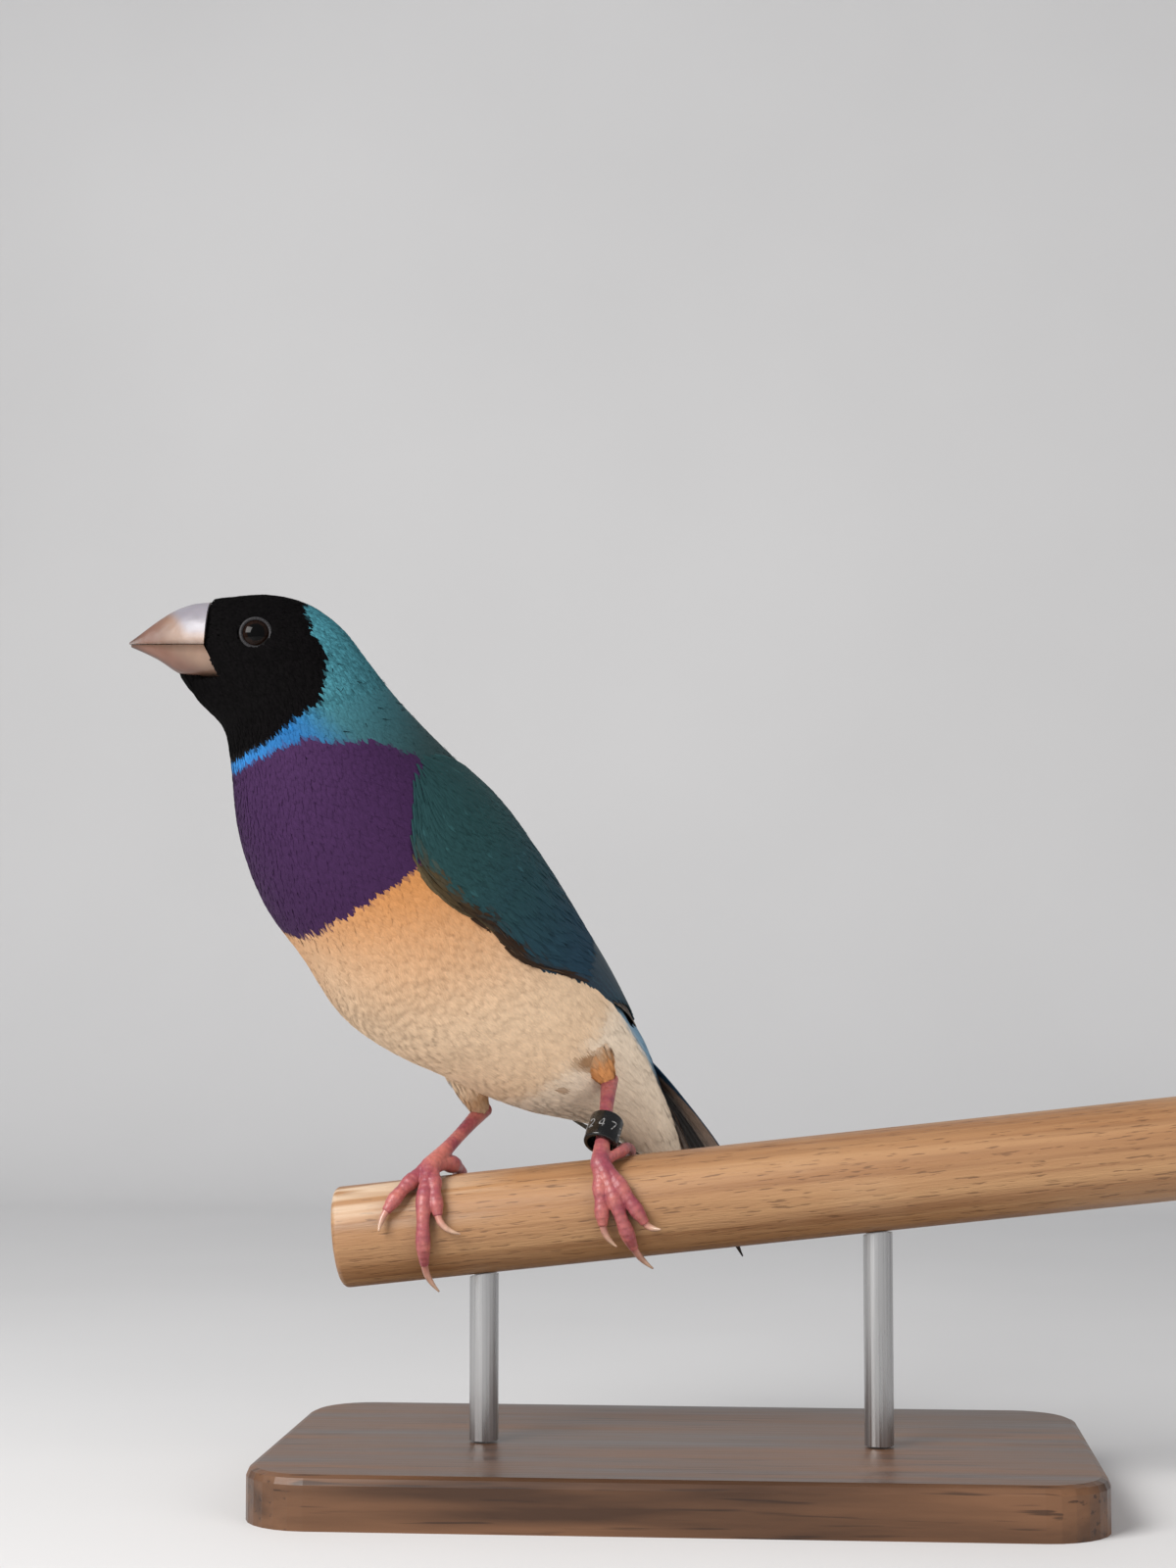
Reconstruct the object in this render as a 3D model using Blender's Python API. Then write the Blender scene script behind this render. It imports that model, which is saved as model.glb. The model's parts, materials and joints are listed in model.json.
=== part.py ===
"""A gouldian finch as a still, life-size display model, gripping a short cut length of dowel.

The dowel lies on two short rods over a flat base. Sizes are in millimetres in the code and
become metres as each mesh is made. While it is modelled, the zero point lies on the dowel
by the bird's left foot; PLACE then moves everything so that the origin is at the middle of
the base's underside. +Z is up and the viewer of the photograph looks
along +Y, so the bird's left side faces -Y.
"""

import math
from collections import namedtuple

import bmesh
import bpy
import numpy as np

MM = 0.001
GAP = 0.3

# Dowel and stand
PERCH_RADIUS = 6.95
PERCH_SLOPE = math.radians(6.4)
PERCH_LEVEL = 0.5
PERCH_LEFT = -34.5
PERCH_RIGHT = 84.6
PERCH_CHAMFER = 1.0
PERCH_HEIGHT = 38.0
BASE_SIZE = (112.0, 62.0, 7.0)
BASE_CORNER = 9.0
BASE_EDGE = 1.2
ROD_RADIUS = 2.0
ROD_SPREAD = 27.0
CENTRE = (12.67, 3.47)
PLACE = np.array([-CENTRE[0], -CENTRE[1], PERCH_HEIGHT])

# Body: a tube of oval sections from the bill's base to the tip of the undertail coverts.
# Places are those of each section's middle; yaw and pitch, in degrees, aim it forward.
Section = namedtuple("Section", "x y z yaw pitch half_depth half_width")
BODY = (
    Section(-50.5, -19.8, 78.1, 4.7, 18, 5.45, 3.2),
    Section(-49.1, -19.7, 78.0, 4.7, 28, 6.3, 4.3),
    Section(-46.5, -19.4, 77.3, 4.7, 38, 8.3, 5.8),
    Section(-43.5, -19.2, 76.0, 4.7, 48, 9.9, 7.2),
    Section(-40.5, -18.9, 73.7, 7, 57, 10.6, 8.4),
    Section(-37.8, -18.2, 70.4, 13, 63, 10.7, 9.3),
    Section(-35.8, -17.3, 66.0, 22, 65, 11.9, 11.0),
    Section(-33.2, -14.8, 58.7, 34, 58, 14.7, 13.8),
    Section(-29.7, -11.5, 52.0, 41, 50, 16.6, 15.8),
    Section(-25.2, -7.1, 46.1, 43, 45, 17.4, 16.6),
    Section(-21.0, -3.0, 39.5, 43, 42, 18.0, 16.6),
    Section(-16.3, 1.4, 34.3, 43, 40, 16.7, 15.6),
    Section(-11.9, 5.5, 30.1, 43, 39, 14.8, 13.8),
    Section(-6.9, 10.3, 25.2, 43, 40, 12.7, 11.4),
    Section(-3.0, 13.7, 21.5, 42, 44, 10.3, 9.5),
    Section(1.3, 17.5, 17.8, 41, 48, 7.5, 7.4),
    Section(4.7, 20.6, 13.7, 41, 51, 5.0, 5.6),
    Section(7.9, 23.3, 8.6, 41, 52, 3.5, 4.2),
    Section(10.0, 25.2, 4.2, 41, 52, 2.0, 2.8),
    Section(11.1, 26.1, 1.4, 41, 52, 0.9, 1.4),
)
BODY_SIDES = 32
HEAD_STEP = 1.6
RING_STEP = 3.6
HEAD_END = 14.6
NECK_END = 27.6

# Bill, measured back from its tip along the head
BILL_TIP = (-59.9, -20.6, 77.0)
BILL_YAW = 4.7
BILL_PITCH = 3.0
BILL_BACK = (0.0, 1.2, 3.1, 5.6, 7.9, 10.6)
BILL_HALF_WIDTH = (0.28, 0.8, 1.75, 3.0, 4.1, 5.0)
LOWER_HALF_WIDTH = (0.28, 0.8, 1.8, 3.1, 4.3, 5.2)
CULMEN_HEIGHT = (0.25, 1.25, 2.85, 4.65, 5.7, 6.2)
GONYS_DEPTH = (0.25, 0.8, 1.8, 3.55, 4.05, 4.4)
LOWER_SLANT = 1.8
UPPER_SQUARENESS = 0.95
LOWER_SQUARENESS = 0.45
LOWER_BEHIND_TIP = 0.5
BILL_STEPS = 10

# Eyes
EYE_AT = (7.2, 76.5)
EYE_RADIUS = 2.5
EYE_SUNK = 1.9

# Folded wings: edges as angles round the body from the back, at lengths along the spine
WING_ALONG = (29.6, 33.4, 37.2, 41.0, 47.0, 52.0, 57.0, 62.3, 66.5, 73.0, 78.2, 83.5, 89.5)
WING_LOWER = (66.0, 86.0, 101.0, 106.0, 105.0, 98.0, 97.0, 94.0, 86.0, 75.0, 68.0, 60.0, 34.0)
WING_UPPER = (58.0, 40.0, 30.0, 26.0, 22.0, 19.0, 17.0, 15.0, 14.0, 12.0, 11.0, 10.0, 9.0)
WING_STEPS = 15
WING_ACROSS = 7
WING_PROUD = 0.35
WING_THICK = 1.5
WING_TIP_RISE = 0.5

# Tail: a slightly spread fan whose axis leaves the rump and passes behind the dowel
TAIL_AXIS = ((-1.0, 15.5, 27.0), (3.0, 19.2, 22.5), (8.5, 24.2, 15.6), (14.4, 30.0, 3.4), (20.2, 35.0, -9.2))
TAIL_YAW = 50.0
TAIL_HALF_WIDTH = (3.2, 5.6, 6.2, 8.0, 0.4)
TAIL_THICK = (1.5, 1.6, 1.3, 1.0, 0.7)
TAIL_STEPS = 12
TAIL_ARCH = 0.12

# Legs
Leg = namedtuple("Leg", "thigh heel hub_x hub_turn")
THIGH_RADII = {"right": (4.1, 2.8, 1.45), "left": (4.2, 3.2, 1.45)}
LEGS = {
    "right": Leg(((-18.4, 3.4, 23.0), (-17.1, 6.2, 17.6), (-16.2, 8.9, 14.2)), (-16.2, 9.2, 13.3), -20.4, 17.0),
    "left": Leg(((-2.2, 6.9, 24.5), (1.0, 5.8, 20.5), (2.4, 5.3, 18.2)), (2.5, 5.2, 17.3), 2.9, 43.0),
}
TARSUS_RADII = (1.25, 0.95, 0.95, 1.1)
HUB_RADIUS = 1.6
HUB_RISE = 9.0
TOE_RADII = (1.1, 0.9, 0.68)
HIND_RADII = {"right": (1.1, 1.0, 0.7), "left": (0.8, 0.72, 0.6)}
TOE_SWING = 0.8
CLAW_RADII = (0.5, 0.42, 0.27)

# Toes: where along the dowel and how far round it from the top towards the viewer each ends
Toe = namedtuple("Toe", "end_x end_turn claw_x claw_turn claw_rise")
TOES = {
    "right": {
        "outer": Toe(-26.6, 66, -27.6, 84, 8.6),
        "middle": Toe(-22.2, 124, -20.8, 148, 9.8),
        "inner": Toe(-19.5, 76, -16.6, 94, 8.8),
        "hind": Toe(-17.6, -52, -16.6, -72, 8.8),
    },
    "left": {
        "inner": Toe(2.5, 102, 4.0, 122, 8.7),
        "middle": Toe(6.2, 131, 8.3, 152, 9.4),
        "outer": Toe(8.2, 104, 10.2, 108, 9.1),
        "hind": Toe(6.5, -42, 6.2, -62, 8.8),
    },
}

# Leg ring
RING_HEIGHT = 4.4
RING_OUTER = 2.35
RING_INNER = 1.75
RING_ALONG = 0.6
RING_LEAN = np.array((-0.17, 0.1, -0.06))
RING_EDGE = 0.2

COLOURS = {
    "mask_black": (0.006, 0.006, 0.007),
    "nape_turquoise": (0.015, 0.12, 0.16),
    "breast_and_belly": (0.35, 0.22, 0.13),
    "wing_teal": (0.012, 0.045, 0.06),
    "tail_black": (0.01, 0.011, 0.015),
    "bill_horn": (0.42, 0.33, 0.3),
    "eye_black": (0.006, 0.005, 0.005),
    "thigh_buff": (0.35, 0.25, 0.18),
    "leg_pink": (0.32, 0.08, 0.09),
    "claw_horn": (0.3, 0.18, 0.13),
    "ring_black": (0.01, 0.01, 0.011),
    "dowel_beech": (0.42, 0.22, 0.1),
    "base_walnut": (0.12, 0.06, 0.03),
    "rod_steel": (0.5, 0.5, 0.5),
}
FINISH = {"ring_black": (0.25, 0.0), "rod_steel": (0.3, 1.0), "eye_black": (0.08, 0.0), "bill_horn": (0.35, 0.0)}


def clear_scene():
    for obj in list(bpy.data.objects):
        bpy.data.objects.remove(obj)


def material(name):
    found = bpy.data.materials.get(name)
    if found:
        return found
    made = bpy.data.materials.new(name)
    made.use_nodes = True
    shader = made.node_tree.nodes["Principled BSDF"]
    roughness, metallic = FINISH.get(name, (0.6, 0.0))
    shader.inputs["Base Color"].default_value = (*COLOURS[name], 1.0)
    shader.inputs["Roughness"].default_value = roughness
    shader.inputs["Metallic"].default_value = metallic
    return made


def new_object(name, points, faces, finish):
    """A closed mesh of points in millimetres, faces turned outwards, as a named object."""
    mesh = bpy.data.meshes.new(name)
    placed = (np.array(points, float) + PLACE) * MM
    mesh.from_pydata([tuple(p) for p in placed], [], faces)
    shape = bmesh.new()
    shape.from_mesh(mesh)
    bmesh.ops.recalc_face_normals(shape, faces=shape.faces)
    shape.to_mesh(mesh)
    shape.free()
    mesh.shade_smooth()
    mesh.set_sharp_from_angle(angle=math.radians(50))
    mesh.materials.append(material(finish))
    obj = bpy.data.objects.new(name, mesh)
    bpy.context.scene.collection.objects.link(obj)
    return obj


def baked(obj):
    """Replaces the object's mesh by the one that its modifiers give."""
    bpy.context.view_layer.update()
    graph = bpy.context.evaluated_depsgraph_get()
    mesh = bpy.data.meshes.new_from_object(obj.evaluated_get(graph))
    obj.modifiers.clear()
    obj.data = mesh
    return obj


def combine(obj, others, operation):
    """Cuts the other solids from the object, or joins them to it, and removes them."""
    for other in others:
        other.hide_render = True
        other.display_type = "WIRE"
        step = obj.modifiers.new(other.name, "BOOLEAN")
        step.operation = operation
        step.solver = "EXACT"
        step.object = other
    baked(obj)
    for other in others:
        bpy.data.objects.remove(other)
    return obj


def rows_to_solid(name, rows, finish):
    """A closed tube over rings of points, one ring a row, with a flat cap at each end."""
    count, sides = len(rows), len(rows[0])
    points = [p for row in rows for p in row]
    faces = []
    for i in range(count - 1):
        for j in range(sides):
            k = (j + 1) % sides
            faces.append((i * sides + j, i * sides + k, (i + 1) * sides + k, (i + 1) * sides + j))
    faces.append(tuple(range(sides)))
    faces.append(tuple(range((count - 1) * sides, count * sides)))
    return new_object(name, points, faces, finish)


def curve_through(knots, values, at):
    """A cubic through the values; the slope at each knot comes from its neighbours."""
    knots, values = np.array(knots, float), np.array(values, float)
    slopes = np.gradient(values, knots, axis=0)
    i = int(np.clip(np.searchsorted(knots, at, side="right") - 1, 0, len(knots) - 2))
    step = knots[i + 1] - knots[i]
    t = (at - knots[i]) / step
    start = (2 * t**3 - 3 * t**2 + 1) * values[i] + (t**3 - 2 * t**2 + t) * step * slopes[i]
    end = (3 * t**2 - 2 * t**3) * values[i + 1] + (t**3 - t**2) * step * slopes[i + 1]
    return start + end


def lengths_along(points):
    steps = np.linalg.norm(np.diff(np.array(points, float), axis=0), axis=1)
    return np.concatenate([[0.0], np.cumsum(steps)])


SPINE = lengths_along([section[:3] for section in BODY])
BODY_LENGTH = SPINE[-1]


def axes_of(yaw, pitch):
    """Forward, left and back directions of something that faces -X when its yaw is zero."""
    yaw, pitch = math.radians(yaw), math.radians(pitch)
    level = np.array([-math.cos(yaw), -math.sin(yaw), 0.0])
    forward = level * math.cos(pitch) + np.array([0.0, 0.0, math.sin(pitch)])
    left = np.array([math.sin(yaw), -math.cos(yaw), 0.0])
    return forward, left, np.cross(forward, left)


def body_point(along, angle, lift=0.0):
    """A point on the plumage: along the spine in mm, round it in degrees from the back by the left."""
    section = Section(*curve_through(SPINE, BODY, along))
    _, left, back = axes_of(section.yaw, section.pitch)
    turn = math.radians(angle)
    normal = back * math.cos(turn) / section.half_depth + left * math.sin(turn) / section.half_width
    normal /= np.linalg.norm(normal)
    middle = np.array([section.x, section.y, section.z])
    round_it = back * math.cos(turn) * section.half_depth + left * math.sin(turn) * section.half_width
    return middle + round_it + normal * lift


def body_length(name, start, end, step, finish):
    count = max(3, round((end - start) / step) + 1)
    angles = np.arange(BODY_SIDES) * 360.0 / BODY_SIDES
    rows = [[body_point(s, a) for a in angles] for s in np.linspace(start, end, count)]
    return rows_to_solid(name, rows, finish)


def ring_round(middle, direction, radius, sides):
    """A ring of points round a direction; it starts on the same side whichever way that points."""
    direction = direction / np.linalg.norm(direction)
    across = np.cross(direction, (0.31, 0.17, 0.94))
    across /= np.linalg.norm(across)
    other = np.cross(direction, across)
    turns = np.arange(sides) * 2 * math.pi / sides
    return [middle + radius * (across * math.cos(t) + other * math.sin(t)) for t in turns]


def tube(name, path, radii, sides, finish):
    """A tube along a path, its radius running smoothly through the radii given."""
    path = np.array(path, float)
    along = lengths_along(path)
    knots = np.linspace(0.0, along[-1], len(radii))
    directions = np.gradient(path, along, axis=0)
    rows = []
    for point, distance, direction in zip(path, along, directions):
        rows.append(ring_round(point, direction, float(curve_through(knots, radii, distance)), sides))
    return rows_to_solid(name, rows, finish)


def ball(name, middle, radius, finish, rings=8, sides=12):
    rows = []
    for i in range(rings):
        tilt = math.pi * (i + 0.35) / (rings - 0.3)
        centre = np.array(middle) + (0.0, 0.0, radius * math.cos(tilt))
        rows.append(ring_round(centre, np.array([0.0, 0.0, 1.0]), radius * math.sin(tilt), sides))
    return rows_to_solid(name, rows, finish)


def bill_rows(heights, grow, direction, slant, squareness, first_back):
    """Half-oval sections of one half of the bill, from its tip back, on one side of the mouth line."""
    forward, left, up = axes_of(BILL_YAW, BILL_PITCH)
    rows = []
    for back in np.linspace(first_back, BILL_BACK[-1], BILL_STEPS):
        height = float(curve_through(BILL_BACK, heights, back)) + grow
        widths = BILL_HALF_WIDTH if direction > 0 else LOWER_HALF_WIDTH
        width = float(curve_through(BILL_BACK, widths, back)) + grow
        share = back / BILL_BACK[-1]
        row = []
        for turn in np.linspace(0.0, math.pi, 13):
            deep = height * abs(math.sin(turn)) ** squareness
            aside = width * math.copysign(abs(math.cos(turn)) ** squareness, math.cos(turn))
            behind = back + (slant * share * deep / height) - grow * (1 - 2 * share)
            place = -forward * behind + left * aside + up * direction * (deep + GAP / 2)
            row.append(np.array(BILL_TIP) + place)
        rows.append(row)
    return rows


def make_bill():
    upper = rows_to_solid("bill_upper", bill_rows(CULMEN_HEIGHT, 0.0, 1, 0.0, UPPER_SQUARENESS, 0.0), "bill_horn")
    lower_rows = bill_rows(GONYS_DEPTH, -0.08, -1, LOWER_SLANT, LOWER_SQUARENESS, LOWER_BEHIND_TIP)
    lower = rows_to_solid("bill_lower", lower_rows, "bill_horn")
    return upper, lower


def bill_cutters():
    upper = bill_rows(CULMEN_HEIGHT, GAP, 1, 0.0, UPPER_SQUARENESS, 0.0)
    lower = bill_rows(GONYS_DEPTH, GAP, -1, LOWER_SLANT, LOWER_SQUARENESS, 0.0)
    for rows, direction in ((upper, 1), (lower, -1)):
        for row in rows:
            row[0] = row[0] - np.array([0.0, 0.0, direction * 2 * GAP])
            row[-1] = row[-1] - np.array([0.0, 0.0, direction * 2 * GAP])
    return [rows_to_solid("bill_room_upper", upper, "bill_horn"), rows_to_solid("bill_room_lower", lower, "bill_horn")]


def eye_middle(side):
    along, angle = EYE_AT
    return body_point(along, side * angle, -EYE_SUNK)


def make_head():
    head = body_length("head", 0.0, HEAD_END, HEAD_STEP, "mask_black")
    sockets = [ball(f"socket_{side}", eye_middle(side), EYE_RADIUS + GAP, "mask_black") for side in (1, -1)]
    combine(head, bill_cutters() + sockets, "DIFFERENCE")
    ball("eye_left", eye_middle(1), EYE_RADIUS, "eye_black")
    ball("eye_right", eye_middle(-1), EYE_RADIUS, "eye_black")
    make_bill()


def wing_rows(side, grow):
    """Sections across a folded wing from shoulder to tip: out over its top, back along its underside."""
    rows = []
    extra = math.degrees(grow / 14.0)
    for share in np.linspace(0.0, 1.0, WING_STEPS):
        along = WING_ALONG[0] + share * (WING_ALONG[-1] - WING_ALONG[0])
        lower = float(curve_through(WING_ALONG, WING_LOWER, along)) + extra
        upper = float(curve_through(WING_ALONG, WING_UPPER, along)) - extra
        rise = WING_TIP_RISE * max(0.0, share - 0.7) / 0.3
        thick = WING_THICK * (1.0 - 0.45 * share)
        spread = np.linspace(upper, lower, WING_ACROSS)
        placed = along + grow * (2 * share - 1)
        bulge = np.sin(np.linspace(0.0, math.pi, WING_ACROSS)) ** 0.5
        top = [body_point(placed, side * a, WING_PROUD * b + rise + grow) for a, b in zip(spread, bulge)]
        under = [body_point(placed, side * a, WING_PROUD + rise - thick - grow) for a in spread[::-1]]
        rows.append(top + under)
    return rows


def make_wing(side, name):
    return rows_to_solid(name, wing_rows(side, 0.0), "wing_teal")


def tail_rows(grow):
    """Sections of the tail fan: a shallow arch, thin at the sides, that narrows to the pin feathers."""
    knots = lengths_along(TAIL_AXIS)
    left = axes_of(TAIL_YAW, 0.0)[1]
    rows = []
    for share in np.linspace(0.0, 1.0, TAIL_STEPS):
        at = share * knots[-1]
        middle = curve_through(knots, TAIL_AXIS, at)
        ahead = curve_through(knots, TAIL_AXIS, min(at + 0.5, knots[-1]))
        behind = curve_through(knots, TAIL_AXIS, max(at - 0.5, 0.0))
        down = (ahead - behind) / np.linalg.norm(ahead - behind)
        top = np.cross(left, down)
        middle = middle + down * grow * (2 * share - 1)
        half = float(curve_through(knots, TAIL_HALF_WIDTH, at)) + grow
        thick = float(curve_through(knots, TAIL_THICK, at)) / 2 + grow
        across = np.linspace(-1.0, 1.0, 7)
        droop = [-TAIL_ARCH * half * x * x for x in across]
        upper = [middle + left * half * x + top * (thick * (1 - 0.35 * x * x) + d) for x, d in zip(across, droop)]
        lower = [middle + left * half * x + top * (-thick * (1 - 0.35 * x * x) + d) for x, d in zip(across, droop)]
        rows.append(upper + lower[::-1])
    return rows


def thigh(side, grow):
    path = LEGS[side].thigh
    knots = lengths_along(path)
    points = [curve_through(knots, path, at) for at in np.linspace(0.0, knots[-1], 6)]
    points[0] = points[0] + (points[0] - points[1]) * grow / np.linalg.norm(points[0] - points[1])
    points[-1] = points[-1] + (points[-1] - points[-2]) * grow / np.linalg.norm(points[-1] - points[-2])
    radii = [radius + grow for radius in THIGH_RADII[side]]
    name = f"thigh_{side}" if grow == 0 else f"thigh_room_{side}"
    return tube(name, points, radii, 14, "thigh_buff")


def make_trunk():
    trunk = body_length("trunk", NECK_END + GAP, BODY_LENGTH, RING_STEP, "breast_and_belly")
    cutters = [thigh("left", GAP), thigh("right", GAP)]
    cutters += [rows_to_solid(f"wing_room_{side}", wing_rows(side, GAP), "wing_teal") for side in (1, -1)]
    cutters.append(rows_to_solid("tail_room", tail_rows(GAP), "tail_black"))
    combine(trunk, cutters, "DIFFERENCE")


def make_body():
    make_head()
    body_length("neck", HEAD_END + GAP, NECK_END, RING_STEP, "nape_turquoise")
    make_trunk()
    make_wing(1, "wing_left")
    make_wing(-1, "wing_right")
    rows_to_solid("tail", tail_rows(0.0), "tail_black")


def perch_axis(x):
    return np.array([x, 0.0, PERCH_LEVEL + x * math.tan(PERCH_SLOPE)])


def round_perch(x, turn, rise):
    """A point a distance from the dowel's axis, turned from its top towards the viewer."""
    turn = math.radians(turn)
    upright = np.array([-math.sin(PERCH_SLOPE), 0.0, math.cos(PERCH_SLOPE)])
    return perch_axis(x) + rise * (upright * math.cos(turn) + np.array([0.0, -math.sin(turn), 0.0]))


def hub_middle(side):
    leg = LEGS[side]
    return round_perch(leg.hub_x, leg.hub_turn, HUB_RISE)


def toe_radii(side, toe):
    return HIND_RADII[side] if toe.end_turn < 0 else TOE_RADII


def toe_path(side, toe):
    """From the foot's middle down to the dowel and round it to the end of the toe."""
    leg = LEGS[side]
    radii = toe_radii(side, toe)
    count = 8
    path = []
    for i in range(count):
        share = i / (count - 1)
        turn = leg.hub_turn + share * (toe.end_turn - leg.hub_turn)
        aside = 1 - (1 - share) ** 4 if toe.end_turn < 0 else share**TOE_SWING
        x = leg.hub_x + (toe.end_x - leg.hub_x) * aside
        radius = radii[0] + (radii[-1] - radii[0]) * share
        lying = PERCH_RADIUS + GAP + radius + 0.08
        settle = min(1.0, share / 0.25)
        path.append(round_perch(x, turn, HUB_RISE + (lying - HUB_RISE) * settle))
    return path


def claw_path(side, toe):
    toe_end = toe_path(side, toe)
    start = toe_end[-1]
    leaving = (start - toe_end[-2]) / np.linalg.norm(start - toe_end[-2])
    start = start + leaving * (GAP + 0.05)
    tip = round_perch(toe.claw_x, toe.claw_turn, toe.claw_rise)
    bend = start + leaving * np.linalg.norm(tip - start) * 0.5
    shares = np.linspace(0.0, 1.0, 5)
    return [start * (1 - t) ** 2 + bend * 2 * t * (1 - t) + tip * t**2 for t in shares]


def foot_pieces(side, grow):
    """The foot's middle and its four toes, as overlapping solids."""
    ending = "" if grow == 0 else "_room"
    pieces = [ball(f"foot_{side}{ending}", hub_middle(side), HUB_RADIUS + grow, "leg_pink", 7, 10)]
    for name, toe in TOES[side].items():
        radii = [radius + grow for radius in toe_radii(side, toe)]
        pieces.append(tube(f"toe_{name}{ending}", toe_path(side, toe), radii, 7, "leg_pink"))
    return pieces


def make_foot(side):
    hub, *toes = foot_pieces(side, 0.0)
    combine(hub, toes, "UNION")
    for name, toe in TOES[side].items():
        tube(f"claw_{side}_{name}", claw_path(side, toe), CLAW_RADII, 6, "claw_horn")


def make_leg(side):
    """The feathered thigh, the bare leg from heel to foot, cut to clear both, and the foot."""
    thigh(side, 0.0)
    make_foot(side)
    heel, hub = np.array(LEGS[side].heel), hub_middle(side)
    path = [heel + (hub - heel) * share for share in np.linspace(0.0, 1.0, 7)]
    leg = tube(f"leg_{side}", path, TARSUS_RADII, 12, "leg_pink")
    combine(leg, [thigh(side, GAP)] + foot_pieces(side, GAP), "DIFFERENCE")


def make_ring():
    """The closed ring worn on the left leg, a short tube that clears the leg all round."""
    heel, hub = np.array(LEGS["left"].heel), hub_middle("left")
    down = (hub - heel) / np.linalg.norm(hub - heel) + RING_LEAN
    down = down / np.linalg.norm(down)
    middle = heel + (hub - heel) * RING_ALONG
    half, edge = RING_HEIGHT / 2, RING_EDGE
    profile = (
        (-half, RING_INNER + edge), (-half, RING_OUTER - edge), (-half + edge, RING_OUTER),
        (half - edge, RING_OUTER), (half, RING_OUTER - edge), (half, RING_INNER + edge),
        (half - edge, RING_INNER), (-half + edge, RING_INNER),
    )
    sides = 20
    rings = [ring_round(middle + down * along, down, radius, sides) for along, radius in profile]
    points = [p for ring in rings for p in ring]
    faces = []
    for i in range(len(rings)):
        k = (i + 1) % len(rings)
        for j in range(sides):
            m = (j + 1) % sides
            faces.append((i * sides + j, i * sides + m, k * sides + m, k * sides + j))
    return new_object("leg_ring", points, faces, "ring_black")


def perch_solid(name, grow):
    """The dowel with its ends chamfered, square to its sloping axis."""
    slope = np.array([math.cos(PERCH_SLOPE), 0.0, math.sin(PERCH_SLOPE)])
    start, end = perch_axis(PERCH_LEFT), perch_axis(PERCH_RIGHT)
    radius, inner = PERCH_RADIUS + grow, PERCH_RADIUS + grow - PERCH_CHAMFER
    stops = ((start, inner), (start + slope * PERCH_CHAMFER, radius), (end - slope * PERCH_CHAMFER, radius), (end, inner))
    rows = [ring_round(place, slope, size, 36) for place, size in stops]
    return rows_to_solid(name, rows, "dowel_beech")


def make_base():
    """A flat slab with rounded corners and a small bevel round its top edge."""
    length, width, height = BASE_SIZE
    bottom = -PERCH_HEIGHT
    rows = []
    for level, inset in ((0.0, 0.0), (height - BASE_EDGE, 0.0), (height - BASE_EDGE * 0.3, BASE_EDGE * 0.3), (height, BASE_EDGE)):
        radius = BASE_CORNER - inset
        row = []
        for corner, (sx, sy) in enumerate(((1, 1), (-1, 1), (-1, -1), (1, -1))):
            cx = CENTRE[0] + sx * (length / 2 - BASE_CORNER)
            cy = CENTRE[1] + sy * (width / 2 - BASE_CORNER)
            for step in range(8):
                turn = math.pi / 2 * (corner + step / 7)
                row.append((cx + radius * math.cos(turn), cy + radius * math.sin(turn), bottom + level))
        rows.append(row)
    return rows_to_solid("stand_base", rows, "base_walnut")


def make_rod(name, x):
    foot = -PERCH_HEIGHT + BASE_SIZE[2] + GAP
    path = [(x, 0.0, foot), (x, 0.0, foot + 0.5), (x, 0.0, perch_axis(x)[2])]
    rod = tube(name, path, (ROD_RADIUS, ROD_RADIUS), 24, "rod_steel")
    return combine(rod, [perch_solid("perch_room", GAP)], "DIFFERENCE")


def make_stand():
    perch_solid("perch", 0.0)
    make_base()
    make_rod("stand_rod_left", CENTRE[0] - ROD_SPREAD)
    make_rod("stand_rod_right", CENTRE[0] + ROD_SPREAD)


def main():
    clear_scene()
    make_body()
    make_leg("right")
    make_leg("left")
    make_ring()
    make_stand()


main()
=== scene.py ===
# %% [markdown]
# # A gouldian finch, feather by feather
#
# This scene finishes a life-size museum model of a small finch on a dowel perch. The solids of
# the bird already exist; here they get what makes a bird look alive: a skin, about forty
# thousand little feathers that lie along the body, long wing and tail feathers, scaly feet and
# a wet, dark eye. Every length below is in millimetres until a mesh is made.

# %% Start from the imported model
import json
import math
from collections import namedtuple

import bmesh
import bpy
import numpy as np
from mathutils.kdtree import KDTree
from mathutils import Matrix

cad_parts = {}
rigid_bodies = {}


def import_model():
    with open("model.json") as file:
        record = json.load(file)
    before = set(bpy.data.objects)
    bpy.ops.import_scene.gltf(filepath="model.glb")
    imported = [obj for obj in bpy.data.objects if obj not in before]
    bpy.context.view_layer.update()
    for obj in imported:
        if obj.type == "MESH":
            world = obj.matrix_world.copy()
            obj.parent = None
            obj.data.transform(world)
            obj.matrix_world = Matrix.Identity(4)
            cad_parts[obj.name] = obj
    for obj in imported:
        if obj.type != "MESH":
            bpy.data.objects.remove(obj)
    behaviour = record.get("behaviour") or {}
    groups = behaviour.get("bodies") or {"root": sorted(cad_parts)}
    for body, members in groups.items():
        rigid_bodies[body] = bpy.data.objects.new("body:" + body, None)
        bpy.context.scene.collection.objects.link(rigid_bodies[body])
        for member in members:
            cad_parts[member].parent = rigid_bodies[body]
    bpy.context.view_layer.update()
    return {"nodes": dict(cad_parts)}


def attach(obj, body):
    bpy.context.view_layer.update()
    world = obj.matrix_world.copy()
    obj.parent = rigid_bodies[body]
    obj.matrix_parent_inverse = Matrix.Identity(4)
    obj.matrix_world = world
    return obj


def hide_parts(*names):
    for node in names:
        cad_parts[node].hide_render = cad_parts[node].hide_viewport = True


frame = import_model()
MM = 0.001
CENTRE = (12.67, 3.47)
PERCH_HEIGHT = 38.0
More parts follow.
